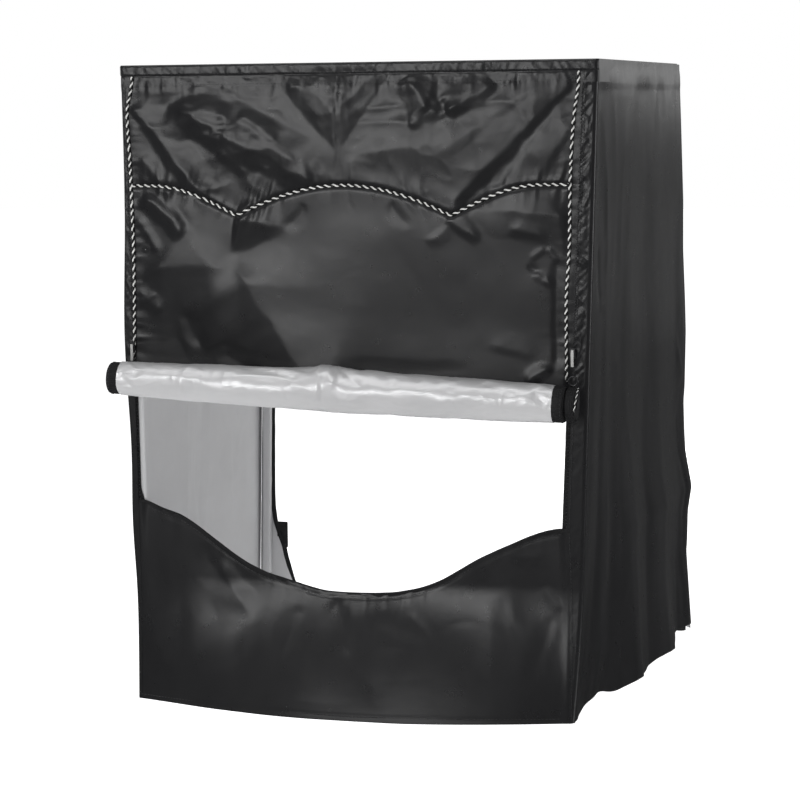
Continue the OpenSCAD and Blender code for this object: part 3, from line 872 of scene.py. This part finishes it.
def roof_point(u, v):
    x, y = -HALF_W + 0.6 + (2 * HALF_W - 1.2) * u, -HALF_D + 0.6 + (2 * HALF_D - 1.2) * v
    ex, ey = np.minimum(u, 1 - u) * 2, np.minimum(v, 1 - v) * 2
    inner = step(ex * 3.2) * step(ey * 3.2)
    sag = 3.4 * (np.sin(np.pi * u) * np.sin(np.pi * v)) ** 0.7
    z = 749.8 - sag * inner
    z = z - inner * (0.9 * np.abs(noise(x / 90, y / 90, 71)) + 0.5 * (1 - crumple(x, y, 60, 72)))
    for cx, cy in ((0, 0), (1, 0), (0, 1), (1, 1)):
        dx, dy = np.abs(u - cx) * 566, np.abs(v - cy) * 550
        r, ang = np.hypot(dx, dy), np.arctan2(dy, dx)
        z = z - 0.8 * np.abs(np.sin(9 * ang + 2 * cx + cy)) * hill(r, 110, 70) * inner
    return x, y, z


roof = shell("roof_cloth", grid(130, 126, roof_point), (0, 0, 1))
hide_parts("roof_panel")

# ---- side walls ----

FOOT_Y = [-275, -219, -201, -167, -126, -95, -70, -36, 5, 50, 89, 130, 159, 200, 224, 275]
FOOT_OUT = [2, -5, 3, 6, 14, 25, 27, 20, 13, 18, 21, 15, 8, -1, -5, 0]
REAR_Z = [0, 106, 120, 160, 180, 193, 241, 267, 307, 327, 400, 440, 506, 572, 624, 677, 750]
REAR_X = [303, 296, 297, 298, 301, 303, 294.5, 293, 292, 293.5, 295, 294, 291.5, 291.5, 290, 288.5, 286]


def curve(at, xs, ys, blur=9.0):
    fine = np.linspace(min(xs), max(xs), 600)
    val = np.interp(fine, xs, ys)
    width = max(1, int(blur / (fine[1] - fine[0])))
    pad = np.pad(val, width, "edge")
    kernel = np.hanning(2 * width + 1)
    val = np.convolve(pad, kernel / kernel.sum(), "valid")
    return np.interp(at, fine, val)


RIGHT_FOLDS = [
    # on the right wall, in (y, z)
    ((215, 400), (262, 342), 8, 6, 10, 12, (16, 8)),
    ((262, 338), (196, 330), 6, 4, 12, 9, (6, 18)),
    ((232, 300), (262, 150), 7, 5, -11, 12, (20, 24)),
    ((240, 210), (258, 60), 6, 7, 9, 12, (24, 20)),
    ((-250, 545), (-236, 470), 9, 7, -9, 12, (16, 8)),
    ((-236, 470), (-205, 474), 5, 5, 10, 8, (6, 8)),
    ((-205, 500), (-212, 640), 8, 8, 5, 18, (20, 30)),
    ((-180, 260), (-176, 130), 9, 9, 6, 20, (30, 30)),
    ((120, 60), (108, 2), 12, 14, 9, 20, (16, 6)),
    ((-168, 60), (-196, 2), 10, 12, -9, 18, (16, 6)),
    ((268, 470), (250, 395), 5, 6, 8, 10, (14, 10)),
]
LEFT_FOLDS = [
    ((205, 410), (262, 330), 7, 5, 9, 10, (14, 10)),
    ((228, 420), (266, 352), 5, 4, -8, 9, (12, 8)),
    ((40, 420), (-10, 150), 30, 24, 9, 60, (60, 50)),
    ((-60, 420), (-80, 140), 24, 24, -7, 60, (60, 50)),
    ((130, 300), (128, 130), 12, 12, -5, 30, (40, 40)),
    ((185, 280), (190, 120), 10, 10, 5, 26, (40, 30)),
    ((150, 330), (168, 280), 5, 5, 7, 9, (12, 12)),
    ((120, 430), (206, 350), 8, 6, 12, 14, (12, 12)),
    ((96, 420), (60, 320), 7, 6, 9, 22, (20, 24)),
    ((196, 300), (150, 236), 7, 5, 10, 14, (12, 14)),
]


def wall_out(side, y, z):
    h = folded(y, z, RIGHT_FOLDS if side > 0 else LEFT_FOLDS, 2.2)
    h += 2.2 * noise(y / 95, z / 330, 81 + side) + 1.1 * noise(y / 42, z / 230, 83 + side)
    h += 0.16 * noise(y / 24 + z / 160, z / 90, 85 + side) * (side > 0)
    h += 0.7 * (crumple(y, z / 2.2, 52, 89 + side) - 0.6)
    top = np.exp(-(724 - z) / 16)
    h += 0.12 * top * noise(y / 5.2, z / 50, 91)
    return h


def left_flare(z):
    """The loose left front edge stands out a little at half height."""
    return 3.6 * hill(z, 215, 70) + 6.5 * hill(z, 430, 115)


def corner_x(side, z):
    """The cover's front corner."""
    return left_x(z) - left_flare(z) if side < 0 else right_x(z)


def rear_x(side, z):
    """How far the cover's rear corner is from the middle."""
    return curve(z, REAR_Z, REAR_X) if side > 0 else HALF_W + 20 * down(z)


def hem_lift(y):
    """How far the right wall's lower edge hangs clear of the floor."""
    front = 13 * hill(y, -190, 34) + 9.5 * hill(y, -85, 70)
    return front + 8 * step((y + 40) / 90) - 2.5 * step((y - 60) / 80)


def side_point(side):
    def f(u, v):
        y0 = -HALF_D + 1.0 + (2 * HALF_D - 1.6) * u
        lift = hem_lift(y0) if side > 0 else 0
        base = FLOOR_GAP + lift + 0.8 * (1 + noise(y0 / 40, 0.5, 93 + side))
        z = base + (748.6 - base) * v
        front = corner_x(side, z)
        x = front + (side * rear_x(side, z) - front) * u
        yf = front_y(front, z) + (1.6 if side < 0 else 4.0)
        y = yf + (HALF_D - 0.6 - yf) * u
        edge = held(u, 0.05, 0.05)
        if side > 0:
            foot = curve(y0, FOOT_Y, FOOT_OUT, 14) * down(z) ** 2.6
        else:
            foot = 3.5 * np.sin((y0 + 60) / 62) * down(z) ** 1.6
        pin = step((749 - z) / 40)
        x = x + side * (foot * edge + wall_out(side, y0, z) * edge * (0.1 + 0.9 * pin))
        x = x + side * 0.6 * step((z - 715) / 9) * step((738 - z) / 2)
        return x, y, z
    return f


hem, hem_thread = make_hem()

for side, word in SIDES:
    shell(word + "_wall_cloth", grid(150, 190, side_point(side)), (side, 0, 0))
    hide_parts(word + "_side_panel")

# ---- front borders ----

def border_point(side):
    round_by = 2.6 if side < 0 else 5.0
    arc = 0.3

    def f(u, v):
        z = FLOOR_GAP + (748.2 - FLOOR_GAP) * v
        seam = seam_x(side, z) + side * 0.1
        turn = np.pi / 2 * clamp01(u / arc)
        t = clamp01((u - arc) / (1 - arc))
        start = corner_x(side, z) + side * (0.3 - round_by)
        x = np.where(u < arc, start + side * round_by * np.cos(turn), start + (seam - start) * t)
        back = np.where(u < arc, round_by * (1 - np.sin(turn)), 0)
        near = t * np.abs(seam - start)
        busy = 0.2 + 0.8 * step((z - 350) / 60)
        pucker = noise((z + 0.9 * near) / 4.4, near / 9, 95 + side)
        pucker = pucker + 0.5 * noise((z - 0.5 * near) / 2.9, near / 8, 97 + side)
        big = crumple(near * 1.3, z, 17, 99 + side) - 0.6
        hold = held(t, 0.15, 0.12)
        h = (0.3 if side < 0 else 0.38) * pucker * hold * busy
        h = h + (0.45 if side < 0 else 0.75) * big * np.sin(np.pi * t) * busy
        if side > 0:
            h = h + 2.0 * hill(z - 0.4 * near, 519, 4) * np.sin(np.pi * t)
            h = h - 1.0 * hill(z - 0.3 * near, 528, 5) * np.sin(np.pi * t)
        h = h + 0.6 * step((z - 721) / 3) * step((737.5 - z) / 2)
        y = front_y(x, z) - 0.4 + back - h
        return x, y, z
    return f


for side, word, cols in ((-1, "left", 14), (1, "right", 26)):
    shell(word + "_border_cloth", grid(cols, 420, border_point(side)), (0, -1, 0), 0.8)
    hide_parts("front_" + word + "_border")

# ---- lower front panel ----

LOWER_FOLDS = [
    ((-30, 132), (-4, 62), 9, 12, 9, 26, (10, 20)),
    ((-176, 172), (-128, 96), 13, 20, 7, 34, (20, 34)),
    ((-226, 150), (-214, 30), 14, 16, -3, 40, (30, 30)),
    ((-200, 190), (-150, 124), 10, 12, -5, 28, (20, 26)),
    ((60, 120), (96, 70), 12, 12, -4, 26, (14, 24)),
    ((24, 120), (30, 10), 26, 30, 3.5, 60, (30, 30)),
    ((150, 150), (166, 40), 16, 18, 2.5, 40, (30, 30)),
    ((215, 150), (240, 125), 6, 5, 7, 10, (10, 6)),
    ((232, 120), (205, 40), 8, 10, -3.5, 18, (10, 24)),
    ((-70, 122), (-92, 50), 9, 12, 4, 22, (10, 26)),
]


SILL_X0, SILL_X1 = seam_left(SILL_DIP), seam_right(SILL_DIP)


def sill_lean(z):
    """The panel's upper part leans back a little into the tent."""
    return 0.042 * ramp(z - 140, 20)


def lower_out(x, z):
    h = folded(x, z, LOWER_FOLDS, 2.2)
    q = sill_z(x) - z
    dip = hill(x, 15, 85)
    gather = noise(x / 7.5, q / 60, 101) + 0.5 * noise(x / 4, q / 40, 102)
    h += 0.9 * dip * gather * np.exp(-q / 24) * step(q / 4)
    h += 0.3 * (noise(x / 4.4, q / 30, 103)) * np.exp(-q / 9)
    h += 2.2 * hill(x, 48, 34) * hill(z, 84, 22)
    h += 1.3 * noise(x / 80, z / 110, 104) + 0.4 * noise(x / 34, z / 70, 105)
    h += 0.3 * (crumple(x, z, 42, 106) - 0.6)
    h -= sill_lean(z) + 0.35 * hill(q, 4.6, 1.2)
    h -= 0.3 * hill(z, 6.5, 1.2)
    return h


def lower_point(u, v):
    x0 = SILL_X0 + (SILL_X1 - SILL_X0) * u
    top = sill_z(x0) + 1.0
    z = FLOOR_GAP + (top - FLOOR_GAP) * v
    lo, hi = seam_left(z) - 0.8, seam_right(z) + 0.8
    x = lo + (hi - lo) * u
    e = np.minimum(x - lo, hi - x)
    h = lower_out(x, z) * (0.04 + 0.96 * step(e / 12))
    return x, front_y(x, z) + 0.1 - h - 0.4 * step(e / 3), z


lower = shell("lower_front_cloth", grid(214, 74, lower_point), (0, -1, 0))
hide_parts("lower_front_panel")


def binding_point(u, v):
    """Folded tape over the sill edge: v runs from its front lower edge, over the top, to the back."""
    x0 = SILL_X0 + 0.5 + (SILL_X1 - SILL_X0 - 1) * u
    z0 = sill_z(x0)
    ang = np.pi * clamp01((v - 0.3) / 0.4)
    depth = 1.25
    y = np.where(v < 0.3, -depth, np.where(v > 0.7, depth, -depth * np.cos(ang)))
    rise = np.where(v < 0.3, -2.4 + 3.6 * v / 0.3,
                    np.where(v > 0.7, 1.2 - 3.6 * (v - 0.7) / 0.3, 1.2 + np.sin(ang)))
    rise = rise + 0.25 * noise(x0 / 14, v, 111)
    y = y - 0.15 * noise(x0 / 5, v * 2, 112)
    z = z0 + rise
    inside = np.minimum(x0 - seam_left(z0), seam_right(z0) - x0)
    return x0, front_y(x0, z0) + 0.15 + sill_lean(z0) * step(inside / 12) + y, z


binding_grid = grid(214, 14, binding_point)
sill_binding = shell("sill_binding", binding_grid, (0, -1, 0), 0.5, mats=TRIM, slot="webbing")
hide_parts("window_binding")

xs = np.linspace(-270, 243, 220)
z = sill_z(xs) - 4.6
sill_rows = [(np.stack([xs, front_y(xs, z) - 0.85 + sill_lean(z), z], -1), (0, -1, 0))]
z = np.full_like(xs, 6.5)
sill_rows.append((np.stack([xs, front_y(xs, z) - 0.6, z], -1), (0, -1, 0)))
lower_thread = thread("lower_front_thread", sill_rows)

# ---- zips ----


ZIP_LOW, ZIP_HIGH, ZIP_BACK, TOOTH_STEP = 183, 723, 1.4, 2.1

for side, word in SIDES:
    z = np.linspace(ZIP_LOW, ZIP_HIGH, 160)
    x = seam_x(side, z)
    line, s = resample(np.stack([x, front_y(x, z) + ZIP_BACK, z], -1), TOOTH_STEP)
    # set back further below the roll, which leaves room for the cord that comes down with the curtain
    line[:, 1] += ZIP_BACK * step((398 - line[:, 2]) / 12)
    cols = np.linspace(-3.0 if side < 0 else -6, 6, 9)
    P = line[None] + np.array([1.0, 0, 0]) * cols[:, None, None]
    if side < 0:
        # the free edge of the left tape is drawn in beside the window
        beside = step((line[:, 2] - 236) / 20) * step((384 - line[:, 2]) / 24)
        P[..., 0] -= beside * 0.6 * np.maximum(cols[:, None], 0)
    P[..., 1] += 0.18 * noise(line[None, :, 2] / 5, cols[:, None] / 3, 121)
    tape = shell(word + "_zip_tape_cloth", P, (0, -1, 0), 0.6, mats=TRIM, slot="webbing")
    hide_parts(word + "_zip_tape")
    parts = []
    for k, p in enumerate(line):
        lean = 0.85 if k % 2 else -0.85
        q = np.array([[p[0] + lean - 1.5, p[1] - 1.0, p[2]], [p[0] + lean - 0.5, p[1] - 1.7, p[2]],
                      [p[0] + lean + 0.5, p[1] - 1.7, p[2]], [p[0] + lean + 1.5, p[1] - 1.0, p[2]]])
        parts.append(tube(q, [0.5, 0.75, 0.75, 0.5], 6, 0))
    v, f, i = merge(parts)
    piece(word + "_zip_teeth", v, f, [TEETH], i, slot="webbing")

# ---- rear strips ----

STRIP_Z = [0, 60, 92, 106, 128, 150, 180, 241, 400, 750]
STRIP_W = [44, 40, 36, 30, 22, 19, 18, 17, 16, 15.5]


def strip_point(side):
    def f(u, v):
        z = FLOOR_GAP + (748.0 - FLOOR_GAP) * v
        wide = curve(z, STRIP_Z, STRIP_W, 12)
        foot = np.maximum(0, 1 - z / 90) ** 1.5
        h = 0.9 * np.sin(np.pi * u) * noise(z / 46, u, 131 + side)
        h += 0.7 * u * noise(z / 17, u * 2, 133 + side)
        crease = fold(u * 30, z, (2, 168), (26, 138), 5, 5, 13, 8, (6, 6), 1.5)
        crease += fold(u * 30, z, (2, 120), (28, 96), 5, 6, -12, 8, (6, 6), 1.5)
        x = side * (rear_x(side, z) - 1.4 - wide * u)
        y = HALF_D - 0.2 + 60 * foot * u + h + crease
        return x, y, z
    return f


for side, word in SIDES:
    P = grid(12, 260, strip_point(side))
    shell("rear_" + word + "_strip_cloth", P, (0, 1, 0), 0.8)
    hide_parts("rear_" + word + "_strip")
    edge = P[:, -1]
    wrap = [edge + np.array([-side * 1.6 * math.sin(ang), 1.3 * math.cos(ang) - 0.4, 0])
            for ang in np.linspace(0, np.pi, 9)]
    flap = 4.0
    first, last = wrap[0] + np.array([side * flap, 0, 0]), wrap[-1] + np.array([side * flap, 0, 0])
    B = np.stack([first] + wrap + [last])
    ribbon = shell("rear_" + word + "_edge_binding", B, (0, 0.01, 0), 0.4, mats=TRIM, slot="webbing")
    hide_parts("rear_" + word + "_binding")

# ---- roll ----

Z_UP = np.array([0, 0, 1.0])
ROLL_UP = Z_UP - ROLL_AXIS * (Z_UP @ ROLL_AXIS)
ROLL_UP /= np.linalg.norm(ROLL_UP)
ROLL_FRONT = np.cross(ROLL_UP, ROLL_AXIS)
if ROLL_FRONT[1] > 0:
    ROLL_FRONT = -ROLL_FRONT


def roll_place(s, ang, r):
    """ang 0 faces the front, 90 degrees faces up."""
    s, ang, r = np.broadcast_arrays(s, ang, r)
    return (ROLL_A + s[..., None] * ROLL_AXIS + (r * np.cos(ang))[..., None] * ROLL_FRONT
            + (r * np.sin(ang))[..., None] * ROLL_UP)


def roll_radius(s):
    return np.interp(s, [0, 15, ROLL_LEN * 0.25, ROLL_LEN * 0.5, ROLL_LEN * 0.75, ROLL_LEN - 15, ROLL_LEN],
                     [18.2, 19.4, 22.6, 25.0, 23.8, 21.8, 20.6])


ROLL_FOLDS = [
    # along the roll and round it, in mm; 0 round is the front, 39 is the top
    ((256, 44), (262, -34), 7, 6, 17, 22, (8, 14)),
    ((264, 34), (278, 2), 6, 9, 17, 12, (6, 10)),
    ((274, 34), (314, 8), 7, 10, -15, 18, (8, 14)),
    ((266, 46), (258, 12), 5, 7, 16, 10, (8, 8)),
    ((258, -8), (266, -40), 5, 6, -15, 12, (8, 8)),
    ((278, -4), (328, -20), 5, 7, 11, 14, (8, 16)),
    ((232, 30), (256, 22), 5, 6, -10, 10, (10, 6)),
    ((156, 34), (238, 16), 6, 8, -10, 16, (16, 10)),
    ((302, 42), (372, 26), 8, 8, 9, 22, (14, 20)),
    ((330, 36), (352, 8), 5, 7, -10, 14, (8, 10)),
    ((395, 30), (425, 20), 5, 6, 12, 14, (8, 10)),
    ((440, 26), (500, 6), 6, 9, -9, 22, (16, 18)),
    ((500, 36), (532, 18), 5, 6, 14, 12, (8, 6)),
    ((505, 16), (534, -4), 6, 7, -14, 12, (8, 6)),
    ((18, 36), (40, 10), 5, 7, 14, 12, (6, 10)),
    ((16, 12), (36, -12), 5, 7, -14, 12, (6, 10)),
    ((60, 30), (130, 18), 8, 10, 6, 26, (20, 26)),
    ((120, -6), (190, -14), 8, 8, 7, 22, (20, 20)),
    ((300, -8), (380, -20), 8, 8, -8, 22, (20, 24)),
]


def roll_mesh():
    ns, na = 420, 132
    s = np.linspace(ROLL_END, ROLL_LEN - ROLL_END, ns)
    S, A = np.meshgrid(s, circle(na), indexing="ij")
    R = roll_radius(S)
    arc = ((A + np.pi) % (2 * np.pi) - np.pi) * ROLL_ROUND
    h = folded(S, arc, ROLL_FOLDS, 1.4)
    loop = 2 * np.pi * ROLL_ROUND
    blend_w = step((np.abs(arc) - loop / 2 + 22) / 22)

    def around(fn):
        return fn(arc) * (1 - blend_w) + fn(np.abs(arc)) * blend_w
    h += around(lambda q: 1.1 * (crumple(S / 1.8, q, 21, 141) - 0.6))
    h += around(lambda q: 0.4 * (crumple(S / 1.3, q, 9.5, 147) - 0.6))
    h += around(lambda q: 0.4 * noise(S / 26, q / 14, 142))
    h += 3.4 * hill(S, 272, 26) * np.maximum(np.sin(A), 0) ** 2
    ends = np.exp(-(S - ROLL_END) / 16) + np.exp(-(ROLL_LEN - ROLL_END - S) / 16)
    h += around(lambda q: 0.7 * noise(q / 5.5, S / 30, 144)) * ends
    # the last turn's free edge
    h += -0.8 * step((A - 3.6) / 0.04) * step((5.4 - A) / 1.7)
    P = roll_place(S, A, R + np.clip(h, -3.5, 4.6))
    ids = np.arange(ns * na).reshape(ns, na)
    quads = ring_quads(ids).tolist()
    verts = P.reshape(-1, 3)
    extra = [ROLL_A + ROLL_AXIS * ROLL_END, ROLL_A + ROLL_AXIS * (ROLL_LEN - ROLL_END)]
    k = len(verts)
    for a in range(na):
        b = (a + 1) % na
        quads.append([k, int(ids[0, b]), int(ids[0, a])])
        quads.append([k + 1, int(ids[-1, a]), int(ids[-1, b])])
    return np.concatenate([verts, extra]), quads


def lathe(profile, s_shift=0.0, na=96, wob=0.0, seed=0):
    """A closed band round the roll's axis; profile is a closed loop of (along, radius)."""
    prof = np.array(profile, float)
    K, A = np.meshgrid(np.arange(len(prof)), circle(na), indexing="ij")
    S = prof[K, 0] + s_shift
    join = np.minimum(1, np.minimum(A, 2 * np.pi - A) * 4)
    R = prof[K, 1] + wob * noise(A * 3.2, 0.5, seed) * join
    P = roll_place(S, A, R)
    ids = np.arange(len(prof) * na).reshape(len(prof), na)
    return P.reshape(-1, 3), ring_quads(np.concatenate([ids, ids[:1]])).tolist()


def orient(obj):
    """Turns every face of a closed mesh outwards."""
    bm = bmesh.new()
    bm.from_mesh(obj.data)
    bmesh.ops.recalc_face_normals(bm, faces=bm.faces)
    bm.to_mesh(obj.data)
    bm.free()
    return obj


rv, rf = roll_mesh()
roll_cloth = orient(piece("rolled_curtain_cloth", rv, rf, [SILVER_ROLL_LIT], body="roll", slot="silver_cloth"))
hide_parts("curtain_roll")


def band_profile(w, r, thick):
    """Webbing band with rounded edges."""
    top = r + thick
    return [(0.4, r), (0, r + 0.5), (0.0, top - 0.6), (0.6, top), (w * 0.3, top + 0.35),
            (w * 0.5, top + 0.4), (w * 0.7, top + 0.35), (w - 0.6, top), (w, top - 0.6),
            (w, r + 0.5), (w - 0.4, r)]


def end_cap(w, r):
    """Band that closes over the roll's end."""
    return [(0.3, ROD_HOLE), (0.0, ROD_HOLE + 2), (-0.2, r * 0.6), (0.2, r - 1.2), (1.2, r + 0.3),
            (3.0, r + 1.0), (w * 0.6, r + 1.2), (w - 1.0, r + 1.1), (w, r + 0.3), (w, r - 1.4),
            (1.6, r - 1.8), (1.6, ROD_HOLE)]


def flip(profile, w):
    return [(w - s, r) for s, r in profile]


def webbing_ring(name, profile, at, body="roll", **kw):
    verts, faces = lathe(profile, at, **kw)
    return orient(piece(name, verts, faces, [WEBBING], body=body, slot="webbing"))


left_band = webbing_ring("left_roll_end_band", end_cap(15, 17.6), 0.0, wob=0.25, seed=3)
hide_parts("left_roll_band")
right_band = webbing_ring("right_roll_end_band", flip(end_cap(14.6, 19.6), 14.6), ROLL_LEN - 14.8,
                          wob=0.25, seed=4)
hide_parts("right_roll_band")
STUB = [(0, ROD_HOLE), (0, 17.2), (10.4, 17.2), (11.4, 16.2), (11.6, ROD_HOLE)]
webbing_ring("roll_end_stub", STUB, ROLL_LEN + 0.2)
loop = webbing_ring("webbing_hold_loop", band_profile(9.6, 18.3, 1.7), ROLL_LEN + 1.3, body="roll_carrier",
                    wob=0.3, seed=5)
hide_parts("hold_loop")
band_rows = []
for s_at, r_at in ((4.0, 18.9), (ROLL_LEN - 4.2, 20.9)):
    ang = np.linspace(0, 2 * np.pi, 160)
    row = roll_place(np.full_like(ang, s_at), ang, np.full_like(ang, r_at))
    o = roll_place(np.full_like(ang, s_at), ang, np.full_like(ang, r_at + 1)) - row
    band_rows.append((row, o))
thread("roll_band_thread", band_rows, body="roll")

# cord end that comes out of the loop and runs down round the roll's end
ang = np.radians(np.linspace(84, -18, 60))
tail = roll_place(np.full_like(ang, ROLL_LEN + 12.4) + 1.2 * np.sin(ang * 2), ang, np.full_like(ang, 19.0))
cord_piece("cord_tail", tail, 0.95, 7.4, body="roll_carrier")

# ---- rear tabs ----

for side, word in SIDES:
    lo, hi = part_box("rear_" + word + "_tab")
    x0, x1, z0, z1 = lo.x / MM, hi.x / MM, lo.z / MM, hi.z / MM
    ym = (lo.y + hi.y) / 2 / MM

    def tab_point(u, v):
        r = 2.4
        z = z0 + (z1 - z0) * v
        trim = 1 - np.clip((r - np.minimum(v, 1 - v) * (z1 - z0)) / r, 0, 1) ** 2 * 0.10
        x = (x0 + x1) / 2 + (u - 0.5) * (x1 - x0) * trim
        y = ym + 0.8 + 0.25 * noise(x / 6, z / 8, 151 + side)
        return x, y, z
    tab = shell("rear_" + word + "_tab_webbing", grid(14, 30, tab_point), (0, 1, 0), 1.5,
                mats=[WEBBING, WEBBING], body=word + "_tab", slot="webbing")
    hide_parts("rear_" + word + "_tab")

# ---- leg sleeves ----

def hub(sx, sy, top):
    if top:
        return np.array([sx * 274.4, sy * 265.0, 741.8])
    shift = sx * 14 if sy > 0 else (9 if sx < 0 else -31)
    return np.array([sx * 275.0 + shift, sy * 265.0, 22.0])


CORNERS = ((-1, -1, "front_left"), (1, -1, "front_right"), (-1, 1, "rear_left"), (1, 1, "rear_right"))
for sx, sy, word in CORNERS:
    a, b = hub(sx, sy, False), hub(sx, sy, True)
    d = (b - a) / np.linalg.norm(b - a)
    line, s = resample([a + d * 36, b - d * 36], 3.0)
    t, p, q = frames(line)
    S, A = np.meshgrid(s, circle(32), indexing="ij")
    r = 5.5 / (np.cos(A) ** 6 + np.sin(A) ** 6) ** (1 / 6) + 0.2 * noise(S / 16, np.cos(A) * 1.3, 161)
    r = r * (1 + 0.06 * np.exp(-np.minimum(S, s[-1] - S) / 3))
    P = line[:, None] + r[..., None] * (np.cos(A)[..., None] * p[:, None] + np.sin(A)[..., None] * q[:, None])
    I = line[:, None] + 4.7 * (np.cos(A)[..., None] * p[:, None] + np.sin(A)[..., None] * q[:, None])
    verts, faces = ring_shell(P, I)
    sleeve = orient(piece(word + "_pole_sleeve", verts, faces, [SILVER], slot="silver_cloth"))
    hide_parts(word + "_sleeve")

# ---- stitches along the right border ----

rows = []
zz = np.linspace(4, 742, 300)
rows.append((np.stack([seam_right(zz) + 3.0, front_y(seam_right(zz), zz) - 1.1, zz], -1), (0, -1, 0)))
thread("right_border_thread", rows)
